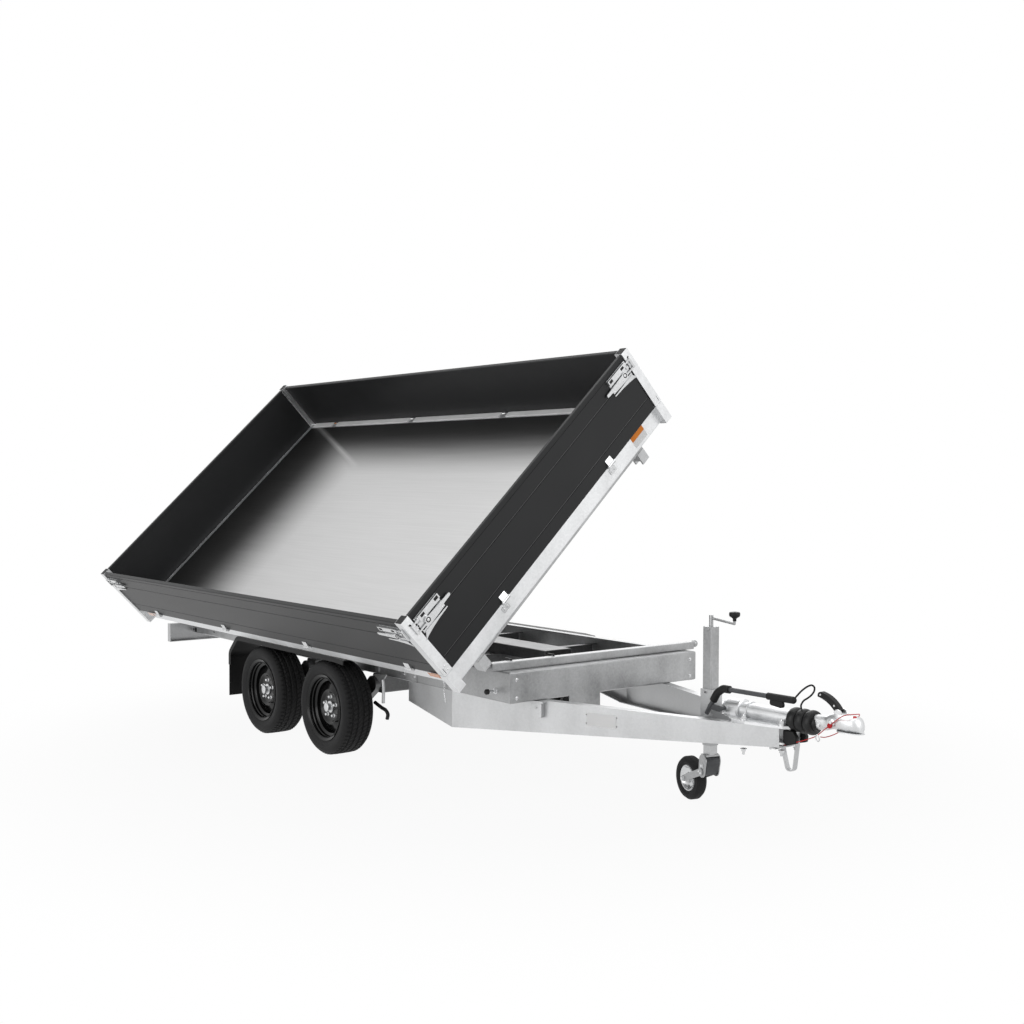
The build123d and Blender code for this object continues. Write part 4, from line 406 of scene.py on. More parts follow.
# Painted reflection of the dark rear and left boards
rear_tone = fall(tree, from_rear, *REAR_FALL, (-1000, 600))
left_tone = fall(tree, from_left, *LEFT_FALL, (-1000, 400))
darker = maths(tree, "MINIMUM", rear_tone, left_tone, (-700, 500))
# Painted reflection of the bright corner post
line_place = maths(tree, "MULTIPLY", from_rear, LINE_SLOPE, (-1400, 200))
from_line = maths(tree, "SUBTRACT", from_left, line_place, (-1200, 200))
beside = maths(tree, "ABSOLUTE", from_line, 0.0, (-1000, 200))
bell = spread(tree, beside, LINE_TONE, 0.0, (-800, 200), (0.0, LINE_HALF))
fading = spread(tree, from_rear, 1.0, 0.0, (-800, 50), LINE_ENDS)
post_reflection = maths(tree, "MULTIPLY", bell, fading, (-600, 200))
tone = maths(tree, "ADD", darker, post_reflection, (-500, 400))
grained = maths(tree, "MULTIPLY", tone, spread(tree, lines, 0.96, 1.05, (-600, -50)), (-300, 300))
mixed = wire(tree, "ShaderNodeCombineColor", (-150, 300))
for channel in range(3):
    tree.links.new(grained, mixed.inputs[channel])
tree.links.new(mixed.outputs[0], shader.inputs["Base Color"])
tree.links.new(spread(tree, lines, 0.36, 0.44, (-600, -250)), shader.inputs["Roughness"])
relief(tree, lines, shader, 0.04, 0.0005, (0, -300))
finishes["floor_aluminium"] = made
print("sheet darkens over", REAR_FALL[1], "m from the rear and", LEFT_FALL[1], "m from the left")

# %% [markdown]
# ## Powder coat on the boards
# The boards are folded steel sheet, baked with a black powder that runs together into a fine orange peel.
# A flat black would hide the folds, so a fine noise drives the relief and the gloss, and a slow one the
# depth of the black.

# %% Powder coat
COAT_DARK, COAT_LIGHT = (0.0185, 0.019, 0.020), (0.0240, 0.0245, 0.0255)
made, tree, shader = paint("board_paint", (0.021, 0.0215, 0.0225), roughness=0.40, Specular_IOR_Level=0.22)
peel = noise(tree, stretched(tree, (1, 1, 1)), 900.0, 2.0, (-800, 100))
cloud = noise(tree, stretched(tree, (1, 1, 1), (-1100, -300)), 2.2, 4.0, (-800, -300))
tint(tree, spread(tree, cloud, 0.0, 1.0, (-300, 150)), COAT_DARK, COAT_LIGHT, shader, (0, 200))
tree.links.new(spread(tree, peel, 0.32, 0.46, (-300, -150)), shader.inputs["Roughness"])
relief(tree, peel, shader, 0.14, 0.0003, (0, -300))
finishes["board_paint"] = made
print("powder coat", COAT_DARK[0], "to", COAT_LIGHT[0])

# %% [markdown]
# ## Rubber, plastics and paints
# The small surfaces differ in colour, gloss and grain, and otherwise are made alike, so one function and a
# table make them all: a fine grain drives the relief and the gloss, and a slow cloud the colour. The
# blacks mirror less than clean plastic would, because dust and wear have dulled them.

# %% Speckled finishes
DULL_MIRROR = 0.30


def speckled(name, dark, light, rough, scale, depth, metallic):
    """A surface with a fine noise in its roughness and its relief, and a slow one in its colour."""
    made, tree, shader = paint(name, light, metallic=metallic, roughness=sum(rough) / 2)
    grain = noise(tree, stretched(tree, (1, 1, 1)), scale, 4.0, (-800, 100))
    cloud = noise(tree, stretched(tree, (1, 1, 1), (-1100, -300)), 9.0, 3.0, (-800, -300))
    tint(tree, spread(tree, cloud, 0.0, 1.0, (-300, 150)), dark, light, shader, (0, 200))
    tree.links.new(spread(tree, grain, *rough, (-300, -150)), shader.inputs["Roughness"])
    relief(tree, grain, shader, 0.25, depth, (0, -300))
    if metallic < 0.5:
        shader.inputs["Specular IOR Level"].default_value = DULL_MIRROR
    return made


SPECKLED = [
    # name, dark colour, light colour, roughness range, grains per metre, relief in metres, metallic
    ("tyre_rubber", (0.0085, 0.0085, 0.009), (0.0150, 0.0150, 0.0155), (0.62, 0.82), 700.0, 0.0004, 0.0),
    ("rim_paint", (0.0020, 0.0020, 0.0022), (0.0032, 0.0032, 0.0034), (0.14, 0.22), 300.0, 0.00005, 0.0),
    ("black_plastic", (0.0038, 0.0038, 0.0040), (0.0065, 0.0065, 0.0068), (0.46, 0.62), 1100.0, 0.0003, 0.0),
    ("cable_red", (0.50, 0.008, 0.012), (0.66, 0.015, 0.020), (0.30, 0.44), 500.0, 0.0002, 0.0),
    ("white_print", (0.90, 0.90, 0.90), (0.94, 0.94, 0.94), (0.30, 0.42), 300.0, 0.0001, 0.0),
    ("orange_print", (0.80, 0.22, 0.015), (0.88, 0.27, 0.025), (0.30, 0.42), 300.0, 0.0001, 0.0),
    ("bellows_rubber", (0.0085, 0.0085, 0.009), (0.0140, 0.0140, 0.0145), (0.34, 0.50), 600.0, 0.0002, 0.0),
    ("edge_strip", (0.80, 0.80, 0.80), (0.90, 0.90, 0.90), (0.30, 0.40), 500.0, 0.0001, 0.0),
    ("pale_bead", (0.10, 0.10, 0.102), (0.13, 0.13, 0.132), (0.40, 0.52), 500.0, 0.0001, 0.0),
    ("lever_steel", (0.075, 0.078, 0.082), (0.11, 0.114, 0.12), (0.36, 0.50), 500.0, 0.0002, 0.3),
    ("cylinder_paint", (0.022, 0.022, 0.024), (0.034, 0.034, 0.036), (0.30, 0.44), 400.0, 0.0002, 0.0),
    ("cylinder_chrome", (0.74, 0.74, 0.75), (0.82, 0.82, 0.83), (0.08, 0.16), 200.0, 0.0001, 1.0),
]
for name, *values in SPECKLED:
    finishes[name] = speckled(name, *values)
print("speckled finishes", len(SPECKLED))

# %% [markdown]
# ## Lenses
# A marker lens is clear gloss plastic, coloured through, with prism ribs behind its face. See-through
# plastic would show the empty box of the lamp, so the lens is opaque, and a wave across it gives the
# darker bands of the ribs.

# %% Amber and red lenses
for name, colour in (("amber_lens", (0.85, 0.24, 0.01)), ("red_lens", (0.52, 0.008, 0.008))):
    made, tree, shader = paint(name, colour, roughness=0.12)
    shader.inputs["Coat Weight"].default_value = 0.6
    ribs = wire(tree, "ShaderNodeTexWave", (-800, 100), wave_type="BANDS", bands_direction="DIAGONAL")
    ribs.inputs["Scale"].default_value = 60.0
    tree.links.new(stretched(tree, (1, 1, 1)), ribs.inputs["Vector"])
    tint(tree, ribs.outputs["Fac"], tuple(c * 0.72 for c in colour), colour, shader, (0, 200))
    relief(tree, ribs.outputs["Fac"], shader, 0.2, 0.0008, (0, -300))
    finishes[name] = made
print("finishes", sorted(finishes))

# %% [markdown]
# ## Surfaces from numbers
# Each new piece is a grid of points that is computed whole, as arrays. Blender's own cylinders and spins
# would do for some, but one way for all keeps every place in the trailer's metres, with no object to move.
# A grid's faces join neighbours, and flat faces close its ends, so that every piece is a solid.

# %% Faces of a grid


def quads(rows, columns, wrap_rows=False, wrap_columns=True):
    """Four-sided faces between neighbours of a grid of points; a wrapped direction closes on itself."""
    last_row, last_column = rows if wrap_rows else rows - 1, columns if wrap_columns else columns - 1
    i, j = np.meshgrid(np.arange(last_row), np.arange(last_column), indexing="ij")
    after, beside = (i + 1) % rows, (j + 1) % columns
    corners = (i * columns + j, after * columns + j, after * columns + beside, i * columns + beside)
    return np.stack(corners, -1).reshape(-1, 4).tolist()


def closed(grid):
    """A grid of rings (rows, columns, 3), with its first and last ring filled by a flat face."""
    rows, columns = grid.shape[:2]
    ring = list(range(columns))
    ends = [ring[::-1], [(rows - 1) * columns + k for k in ring]]
    return grid.reshape(-1, 3), quads(rows, columns) + ends


# %% [markdown]
# ## Turned pieces, tubes and smooth lines
# Nuts, rims, knobs and bellows are turned on an axis, and pipes follow a line. A turned section takes a
# list of (height, radius), and a polygon's outline instead of the circle makes a hexagon of it. A tube
# carries a ring of points along its path and turns it no more than the path bends, so that it can't twist.

# %% Sections about an axis and along a path


def basis(axis):
    """Three unit vectors, the last along the axis."""
    along = np.asarray(axis, float) / np.linalg.norm(axis)
    other = np.array((0.0, 0.0, 1.0)) if abs(along[2]) < 0.9 else np.array((1.0, 0.0, 0.0))
    across = np.cross(other, along)
    across /= np.linalg.norm(across)
    return across, np.cross(along, across), along


def turned(section, place, axis, count=32, sides=0):
    """
    A section (height a, radius r), turned about an axis: p = place + r k(t) (cos t u + sin t v) + a w.
    With sides, k(t) is the outline of a polygon of unit inner radius, and otherwise 1.
    """
    height, radius = np.asarray(section, float).T
    t = np.arange(count) * 2 * math.pi / count
    k = np.ones(count)
    if sides:
        half = math.pi / sides
        k = 1 / np.cos((t + half) % (2 * half) - half)
    u, v, w = basis(axis)
    ring = np.outer(np.cos(t) * k, u) + np.outer(np.sin(t) * k, v)
    return closed(np.asarray(place) + radius[:, None, None] * ring + height[:, None, None] * w)


def along(path, radius, sides=12):
    """A round tube: p = c(s) + r (cos t n(s) + sin t b(s)), with n and b across the path c at s."""
    path = np.asarray(path, float)
    tangent = np.gradient(path, axis=0)
    tangent /= np.linalg.norm(tangent, axis=1)[:, None]
    n = basis(tangent[0])[0]
    rings = []
    t = np.arange(sides) * 2 * math.pi / sides
    for place, direction in zip(path, tangent):
        n = n - direction * (n @ direction)
        n /= np.linalg.norm(n)
        rings.append(place + radius * (np.outer(np.cos(t), n) + np.outer(np.sin(t), np.cross(direction, n))))
    return closed(np.array(rings))


def curve(points, count=24):
    """A smooth line through points: a cubic Hermite curve with tangents from the points on each side."""
    p = np.asarray(points, float)
    slope = np.gradient(p, axis=0)
    s = np.linspace(0, len(p) - 1, count)
    i = np.minimum(s.astype(int), len(p) - 2)
    f = (s - i)[:, None]
    h = (2 * f**3 - 3 * f**2 + 1, f**3 - 2 * f**2 + f, -2 * f**3 + 3 * f**2, f**3 - f**2)
    return h[0] * p[i] + h[1] * slope[i] + h[2] * p[i + 1] + h[3] * slope[i + 1]


# %% [markdown]
# ## Plates, rings and blocks
# A plate is two copies of one outline, a wheel's rim is a closed section that comes round to its start,
# and a block is a plate with four corners.

# %% Flat pieces and closed rings


def plate(outline, low, high):
    """A plate between two copies of an outline: each of its points plus the shift low, or plus high."""
    ring = np.asarray(outline, float)
    return closed(np.stack([ring + np.asarray(low), ring + np.asarray(high)]))


def loop(section, place, axis, count=64):
    """A closed section (height a, radius r) turned about an axis: p = place + r (cos t u + sin t v) + a w."""
    height, radius = np.asarray(section, float).T
    t = np.arange(count) * 2 * math.pi / count
    u, v, w = basis(axis)
    spokes = np.outer(np.cos(t), u) + np.outer(np.sin(t), v)
    grid = np.asarray(place) + radius[:, None, None] * spokes + height[:, None, None] * w
    return grid.reshape(-1, 3), quads(*grid.shape[:2], wrap_rows=True)


def box(xs, ys, zs):
    """A rectangular block between pairs of limits, its eight corners at (x, y, z)."""
    ring = [(xs[0], ys[0], 0), (xs[1], ys[0], 0), (xs[1], ys[1], 0), (xs[0], ys[1], 0)]
    return plate(ring, (0, 0, zs[0]), (0, 0, zs[1]))


def rounded_rectangle(middle, across, upwards, width, height, corner, steps=5):
    """A rectangle with round corners: m + x u + y v, where (x, y) runs on a quarter circle at each corner."""
    turns = np.arange(4)[:, None] * math.pi / 2 + np.linspace(0, math.pi / 2, steps)
    sides = np.array([(1, 1), (-1, 1), (-1, -1), (1, -1)])
    x = sides[:, :1] * (width / 2 - corner) + corner * np.cos(turns)
    y = sides[:, 1:] * (height / 2 - corner) + corner * np.sin(turns)
    return np.asarray(middle) + np.outer(x.ravel(), across) + np.outer(y.ravel(), upwards)


# %% [markdown]
# ## From shapes to a piece
# One object can hold many shapes, such as all the bolts of the frame. The helper joins them, turns the
# normals outwards, shades round walls smooth and keeps edges sharp, gives the piece the finish of its slot,
# hangs it on the empty of the body that it rides on and hides the solids that it replaces. A bevel, where
# it is asked for, takes the knife edge off sheet metal.

# %% Pieces
SHARP_ANGLE = math.radians(38)


def piece(name, shapes, slot, body, finish=None, bevel=0.0, replaces=()):
    """One object from several shapes, each (points, faces), with its finish, body and bevelled edges."""
    points, faces, start = [], [], 0
    for shape_points, shape_faces in shapes:
        points.append(shape_points)
        faces += [[k + start for k in face] for face in shape_faces]
        start += len(shape_points)
    mesh = bpy.data.meshes.new(name)
    mesh.from_pydata(np.concatenate(points).tolist(), [], faces)
    solid = bmesh.new()
    solid.from_mesh(mesh)
    bmesh.ops.recalc_face_normals(solid, faces=solid.faces)
    solid.to_mesh(mesh)
    solid.free()
    mesh.polygons.foreach_set("use_smooth", np.ones(len(mesh.polygons), bool))
    mesh.set_sharp_from_angle(angle=SHARP_ANGLE)
    mesh.materials.append(finishes[finish or slot])
    made = bpy.data.objects.new(name, mesh)
    bpy.context.scene.collection.objects.link(made)
    if bevel:
        rounding = made.modifiers.new("edges", "BEVEL")
        rounding.width = bevel
        rounding.segments = 2
        rounding.limit_method = "ANGLE"
        rounding.harden_normals = False
    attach(made, body)
    if replaces:
        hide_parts(*replaces)
    print(name, "has", len(mesh.polygons), "faces")


# %% [markdown]
# ## Bolt heads and rivets
# A hot-dip frame is bolted, and its small parts are riveted. Both are turned shapes that stand on the face
# they hold, so one place and one axis are enough to set each of them.

# %% Bolt heads and rivets


def hexagon(place, axis, across, height, washer=1.9):
    """A hexagon head on a round washer, both turned: r is half the width across the flats, less a chamfer."""
    half, thin = across / 2, across * 0.12
    disc = [(0, half * washer), (thin * 0.8, half * washer), (thin, half * washer - thin * 0.4)]
    head = [(thin, half), (height - across * 0.08, half), (height, half * 0.86)]
    return [turned(disc, place, axis, 24), turned(head, place, axis, 24, 6)]


def dome(place, axis, radius, height):
    """A round-headed rivet: r = R cos q, a = h sin q."""
    q = np.linspace(0, math.pi / 2 * 0.92, 6)
    return [turned(np.stack([height * np.sin(q), radius * np.cos(q)], -1), place, axis, 20)]


# %% [markdown]
# ## Tyres
# A tyre is one closed section turned about the axle. Its tread could be cut with hundreds of blocks, but a
# grid that is turned anyway can lower its own radius: four grooves run round, and slots run across,
# slanted in the ribs and square at the shoulders.

# %% Tyres with tread
TYRE_RADIUS = 0.2625
TYRE_HALF = 0.098
TREAD_HALF = 0.074
BEAD_HALF = 0.0797
BEAD_RADIUS = 0.1652
WALL_RADIUS = 0.1835
PITCHES = 60
STEPS_PER_PITCH = 6
GROOVES = (-0.050, -0.017, 0.017, 0.050)
GROOVE_HALF = 0.0048
GROOVE_DEPTH = 0.0068


def tyre_section():
    """Points (y, r): the bead, a side wall whose y bulges with q, a slightly crowned tread, the mirror."""
    q = np.linspace(0, 1, 15)
    r = WALL_RADIUS + (TYRE_RADIUS - 0.0035 - WALL_RADIUS) * q
    y = TYRE_HALF - 0.0175 * (1 - q) ** 3 - (TYRE_HALF - TREAD_HALF) * q**6 - 0.006 * q**2
    y -= 0.0014 * np.exp(-(((q - 0.30) / 0.045) ** 2)) + 0.0011 * np.exp(-(((q - 0.80) / 0.03) ** 2))
    wall = np.stack([y, r], -1)
    across = np.linspace(TREAD_HALF - 0.005, -TREAD_HALF + 0.005, 76)
    tread = np.stack([across, TYRE_RADIUS - 0.0030 * (across / TREAD_HALF) ** 4], -1)
    other = wall[::-1] * (-1, 1)
    return np.concatenate([[(BEAD_HALF, BEAD_RADIUS)], wall, tread, other, [(-BEAD_HALF, BEAD_RADIUS)]])


def pulse(value, half, soft):
    """1 where |value| < half, falling to 0 over a soft edge."""
    return np.clip((half + soft - np.abs(value)) / soft, 0, 1)


def tread_depth(y, turn):
    """Depth of the cut at y and turn: the greatest of the pulses of round grooves and slots across."""
    phase = turn * PITCHES / (2 * math.pi)
    saw = 0.0016 * np.abs((phase % 1) * 4 - 2) - 0.0016
    depth = np.zeros(np.broadcast(y, turn).shape)
    for groove in GROOVES:
        depth = np.maximum(depth, GROOVE_DEPTH * pulse(y - groove + saw, GROOVE_HALF, 0.0012))
    shoulder = np.abs(y) > 0.0545
    inner = (np.abs(y) > 0.021) & (np.abs(y) < 0.046)
    square = pulse((phase + 0.25 * np.sign(y)) % 1 - 0.5, 0.13, 0.05)
    slanted = pulse((phase + 22 * y) % 1 - 0.5, 0.10, 0.05)
    fine = pulse((phase + 60 * y) % 1 - 0.5, 0.06, 0.05)
    depth = np.maximum(depth, 0.0052 * shoulder * square)
    depth = np.maximum(depth, 0.0042 * inner * slanted)
    return np.maximum(depth, 0.0026 * (np.abs(y) < 0.0135) * fine)


WHEELS = [
    # name, x of the axle, side
    ("front_right", -2.850, -1),
    ("front_left", -2.850, 1),
    ("rear_right", -3.592, -1),
    ("rear_left", -3.592, 1),
]
WHEEL_Y = 0.810
HUB_Z = up(TYRE_RADIUS)
section = tyre_section()
turn = np.arange(PITCHES * STEPS_PER_PITCH) * 2 * math.pi / (PITCHES * STEPS_PER_PITCH)
across, radius = section[:, :1], section[:, 1:]
in_tread = (radius > TYRE_RADIUS - 0.004) & (np.abs(across) < TREAD_HALF)
cut = np.where(in_tread, tread_depth(across, turn[None, :]), 0.0)
ribs = 0.0007 * (np.cos(turn[None, :] * 180) > 0) * ((radius > 0.2385) & (radius < 0.2475))
reach = radius - cut + ribs
for name, x, side in WHEELS:
    y = np.broadcast_to(side * (WHEEL_Y + across), reach.shape)
    grid = np.stack([x + reach * np.cos(turn), y, HUB_Z + reach * np.sin(turn)], -1).reshape(-1, 3)
    piece(f"tyre_tread_{name}", [(grid, quads(*reach.shape, wrap_rows=True))], "tyre_rubber", f"wheel_{name}",
          replaces=[f"tyre_{name}"])

# %% [markdown]
# ## Rims
# A steel rim is a rolled band with a lip, a seat for the bead and a deep well, and a pressed disc welded
# into it. The disc rises to a round ring and drops to the flat that takes the nuts. All of it is round, so
# one closed section, turned, gives both parts, and its corners are left to the sharp-edge angle.

# %% Pressed rims
RIM_SECTION = [
    # distance outwards from the middle of the wheel, radius
    (0.0858, 0.1828), (0.0840, 0.1830), (0.0802, 0.1800), (0.0797, 0.1655), (0.0400, 0.1650),
    (0.0360, 0.1510), (-0.0360, 0.1510), (-0.0400, 0.1650), (-0.0797, 0.1655), (-0.0802, 0.1800),
    (-0.0840, 0.1830), (-0.0858, 0.1828), (-0.0850, 0.1770), (-0.0835, 0.1610), (-0.0440, 0.1600),
    (-0.0400, 0.1455), (0.0050, 0.1455), (0.0120, 0.1440), (0.0290, 0.1180), (0.0400, 0.0960),
    (0.0410, 0.0900), (0.0330, 0.0800), (0.0300, 0.0750), (0.0300, 0.0340), (0.0360, 0.0340),
    (0.0360, 0.0740), (0.0380, 0.0790), (0.0470, 0.0890), (0.0475, 0.0940), (0.0440, 0.1000),
    (0.0340, 0.1190), (0.0330, 0.1270), (0.0300, 0.1330), (0.0200, 0.1410), (0.0300, 0.1450),
    (0.0400, 0.1455), (0.0440, 0.1520), (0.0470, 0.1590), (0.0600, 0.1600), (0.0640, 0.1640),
    (0.0760, 0.1650), (0.0800, 0.1700), (0.0830, 0.1770),
]
for name, x, side in WHEELS:
    rim = loop(RIM_SECTION, (x, side * WHEEL_Y, HUB_Z), (0, side, 0), 96)
    piece(f"rim_pressed_{name}", [rim], "rim_paint", f"wheel_{name}", replaces=[f"rim_{name}"])

# %% [markdown]
# ## Wheel nuts, cap and valve
# Five nuts on cone seats hold each wheel, a dust cap closes the hub, and a rubber valve leans out of the
# well. They are bright against the black rim, so they are worth their own solids.

# %% Wheel nuts, a cap and a valve on each wheel
NUT_CIRCLE = 0.056
DISC_FACE = WHEEL_Y + 0.036
HUB_END = WHEEL_Y + 0.064
SEAT = [(0, 0.0125), (0.004, 0.0105), (0.0045, 0.0098)]
NUT = [(0.004, 0.0085), (0.0125, 0.0085), (0.0165, 0.0062), (0.0180, 0.003)]
CAP = [(0.0003, 0.0245), (0.003, 0.0245), (0.0042, 0.0225), (0.0046, 0.006)]
VALVE = [(0, 0.0045), (0.014, 0.0045), (0.016, 0.0036), (0.030, 0.0036)]
for name, x, side in WHEELS:
    shapes = []
    for angle in np.radians(90 + 72 * np.arange(5)):
        place = (x + NUT_CIRCLE * math.cos(angle), side * DISC_FACE, HUB_Z + NUT_CIRCLE * math.sin(angle))
        shapes.append(turned(SEAT, place, (0, side, 0), 24))
        shapes.append(turned(NUT, place, (0, side, 0), 24, 6))
    shapes.append(turned(CAP, (x, side * HUB_END, HUB_Z), (0, side, 0)))
    piece(f"wheel_nuts_{name}", shapes, "hub_zinc", f"wheel_{name}")
    valve = turned(VALVE, (x + 0.118, side * (WHEEL_Y + 0.050), HUB_Z - 0.060), (0, side, 0), 16)
    piece(f"valve_{name}", [valve], "black_plastic", f"wheel_{name}")

# %% [markdown]
# ## Mudguards
# Each guard is one moulded sheet over two wheels, with a turned-down edge. It ends above the front tyre,
# and falls behind the rear one. A bent sheet could be cut from a box, but a section carried along a line
# keeps one thickness.

# %% Mudguards, a section along a rounded line
GUARD_LINE = [(-3.985, 0.372), (-3.985, 0.455), (-3.876, 0.560), (-2.700, 0.560), (-2.610, 0.553)]
GUARD_ROUND = 0.060
GUARD_SECTION = [(0.702, 0.0), (0.913, 0.0), (0.913, 0.026), (0.909, 0.026), (0.909, 0.004), (0.702, 0.004)]


def rounded(points, radius, steps=8):
    """A polyline whose corners are arcs of one radius r, each centred r / sin(half its angle) off it."""
    p = np.asarray(points, float)
    line = [p[0]]
    for before, corner, after in zip(p, p[1:], p[2:]):
        a, b = before - corner, after - corner
        a, b = a / np.linalg.norm(a), b / np.linalg.norm(b)
        half = math.acos(float(np.clip(a @ b, -1, 1))) / 2
        middle = corner + (a + b) / np.linalg.norm(a + b) * radius / math.sin(half)
        start, stop = (corner + way * radius / math.tan(half) - middle for way in (a, b))
        swing = math.pi - 2 * half
        for share in np.linspace(0, 1, steps + 1):
            spoke = start * math.sin((1 - share) * swing) + stop * math.sin(share * swing)
            line.append(middle + spoke / np.linalg.norm(spoke) * radius)
    return np.array(line + [p[-1]])


line = rounded(GUARD_LINE, GUARD_ROUND)
heading = np.gradient(line, axis=0)
heading /= np.linalg.norm(heading, axis=1)[:, None]
outward = np.stack([-heading[:, 1], heading[:, 0]], -1)
shapes = []
for side in (-1, 1):
    rings = [[(x - away_x * inset, side * y, up(height - away_up * inset)) for y, inset in GUARD_SECTION]
             for (x, height), (away_x, away_up) in zip(line, outward)]
    shapes.append(closed(np.array(rings)))
piece("mudguard_shells", shapes, "black_plastic", "chassis", replaces=["mudguards"])

# %% [markdown]
# ## Stays of the guards
# Three flat bars hold each guard. Each runs out under its top and turns down along the rail, where it is
# bolted.

# %% Guard stays
STAY_HALF = 0.020
STAY_PARTS = [
    # inner and outer y, low and high height
    (0.6438, 0.889, 0.5495, 0.5555),
    (0.6438, 0.6500, 0.462, 0.5555),
]
shapes = []
for side in (-1, 1):
    for x in (-3.757, -3.221, -2.685):
        for inner, outer, low, high in STAY_PARTS:
            ys = sorted((side * inner, side * outer))
            shapes.append(box((x - STAY_HALF, x + STAY_HALF), ys, (up(low), up(high))))
piece("guard_stays", shapes, "galvanised_steel", "chassis", bevel=0.0008, replaces=["mudguard_stays"])

# %% [markdown]
# ## Bellows
# A rubber bellows keeps the grease on the overrun shaft. Its folds are half circles in a row, turned about
# the tow axis, and its front end is drawn in round the shaft.

# %% Bellows
TOW_Z = up(0.484)
BELLOWS_REAR, BELLOWS_FRONT = -0.300, -0.166
FOLDS = 3
FOLD_RADIUS, FOLD_RISE = 0.0425, 0.0122
s = np.linspace(0, 1, 61)
wave = np.sqrt(np.clip(1 - (2 * ((s * FOLDS) % 1) - 1) ** 2, 0, 1))
fold = np.where(s > 0.97, 0.036, FOLD_RADIUS + FOLD_RISE * wave)
profile = np.stack([s * (BELLOWS_FRONT - BELLOWS_REAR), fold], -1)
profile = np.concatenate([profile, [(0.146, 0.031), (0.146, 0.020)]])
piece("bellows", [turned(profile, (BELLOWS_REAR, 0, TOW_Z), (1, 0, 0), 48)], "bellows_rubber", "chassis",
      replaces=["overrun_bellows"])

# %% [markdown]
# ## Coupling head
# The head is a casting that swells from its neck to the ball's cup and ends in a pressed lip. Its outline
# is smooth both ways, so it is worked out as super-ellipses, rounder or squarer, between stations that are
# joined by a curve. Two lugs for the handle and the bolts of the neck are turned pieces on it.

# %% Coupling head
HEAD_SHAPE = np.array([
    # x, top, bottom, half width, squareness
    (-0.166, 0.034, -0.030, 0.026, 2.2),
    (-0.128, 0.036, -0.030, 0.027, 2.3),
    (-0.104, 0.040, -0.026, 0.027, 2.6),
    (-0.088, 0.048, -0.020, 0.030, 2.8),
    (-0.070, 0.056, -0.015, 0.033, 2.8),
    (-0.050, 0.060, -0.014, 0.038, 2.8),
    (-0.030, 0.060, -0.014, 0.042, 2.7),
    (-0.010, 0.056, -0.014, 0.044, 2.6),
    (0.008, 0.053, -0.014, 0.0445, 2.6),
    (0.028, 0.054, -0.014, 0.043, 2.4),
    (0.046, 0.053, -0.014, 0.039, 2.3),
    (0.058, 0.045, -0.014, 0.031, 2.2),
    (0.066, 0.028, -0.014, 0.022, 2.1),
    (0.070, 0.010, -0.013, 0.012, 2.0),
])
station = curve(HEAD_SHAPE, 72)
t = np.arange(48) * 2 * math.pi / 48
x, top, bottom, wide, square = (station[:, k:k + 1] for k in range(5))
edge = 2 / square
middle, high = (top + bottom) / 2, (top - bottom) / 2
y = wide * np.sign(np.cos(t)) * np.abs(np.cos(t)) ** edge
z = middle + high * np.sign(np.sin(t)) * np.abs(np.sin(t)) ** edge
head = [closed(np.stack([np.broadcast_to(x, y.shape), y, z], -1))]
lip = np.stack([np.where(np.cos(t) > 0, 0.0775, 0.052) * np.cos(t), 0.0447 * np.sin(t), 0 * t], -1)
head.append(plate(lip, (0, 0, -0.0178), (0, 0, -0.0135)))
BOSS = [(0.0, 0.017), (0.020, 0.015), (0.022, 0.012)]
LUG = [(0.0, 0.020), (0.006, 0.022), (0.009, 0.019)]
for side in (-1, 1):
    head.append(turned(BOSS, (-0.058, side * 0.020, 0.020), (0, side, 0)))
    head.append(turned(LUG, (-0.040, side * 0.0155, 0.054), (0, side, 0)))
    head += hexagon((-0.058, side * 0.042, 0.020), (0, side, 0), 0.0130, 0.0085, 1.4)
    head += hexagon((-0.135, side * 0.0245, TOW_Z), (0, side, 0), 0.0160, 0.0100, 1.5)
piece("coupling_casting", head, "cast_zinc", "chassis", replaces=["coupling_head"])

# %% [markdown]
# ## Wear button and rivets of the handle
# A red button on the head shows how worn the cup is, and three rivets hold the handle. They are tiny, but
# they are the only colour and the only sparkle there.

# %% Wear button and handle rivets
BUTTON = [(-0.004, 0.0085), (0.0015, 0.0085), (0.0025, 0.0070), (0.0028, 0.002)]
piece("wear_button", [turned(BUTTON, (0.040, -0.012, 0.0525), (0.25, -0.25, 1.0), 24)], "red_lens", "chassis",
      finish="cable_red")
shapes = []
for x, z in ((-0.140, 0.124), (-0.066, 0.086), (-0.052, 0.068)):
    shapes.append(turned([(-0.0148, 0.0042), (0.0148, 0.0042)], (x, 0, z), (0, 1, 0), 20))
    for side in (-1, 1):
        shapes += dome((x, side * 0.0132, z), (0, side, 0), 0.0048, 0.0018)
piece("handle_rivets", shapes, "latch_zinc", "chassis")

# %% [markdown]
# ## Ring, knob and carabiner
# A cast ring stands round the overrun housing, the crank of the jockey wheel ends in a knob like a
# mushroom, and a small wire link closes the loop of the red cable. The first two are turned, and the link
# is a tube on a smooth line.

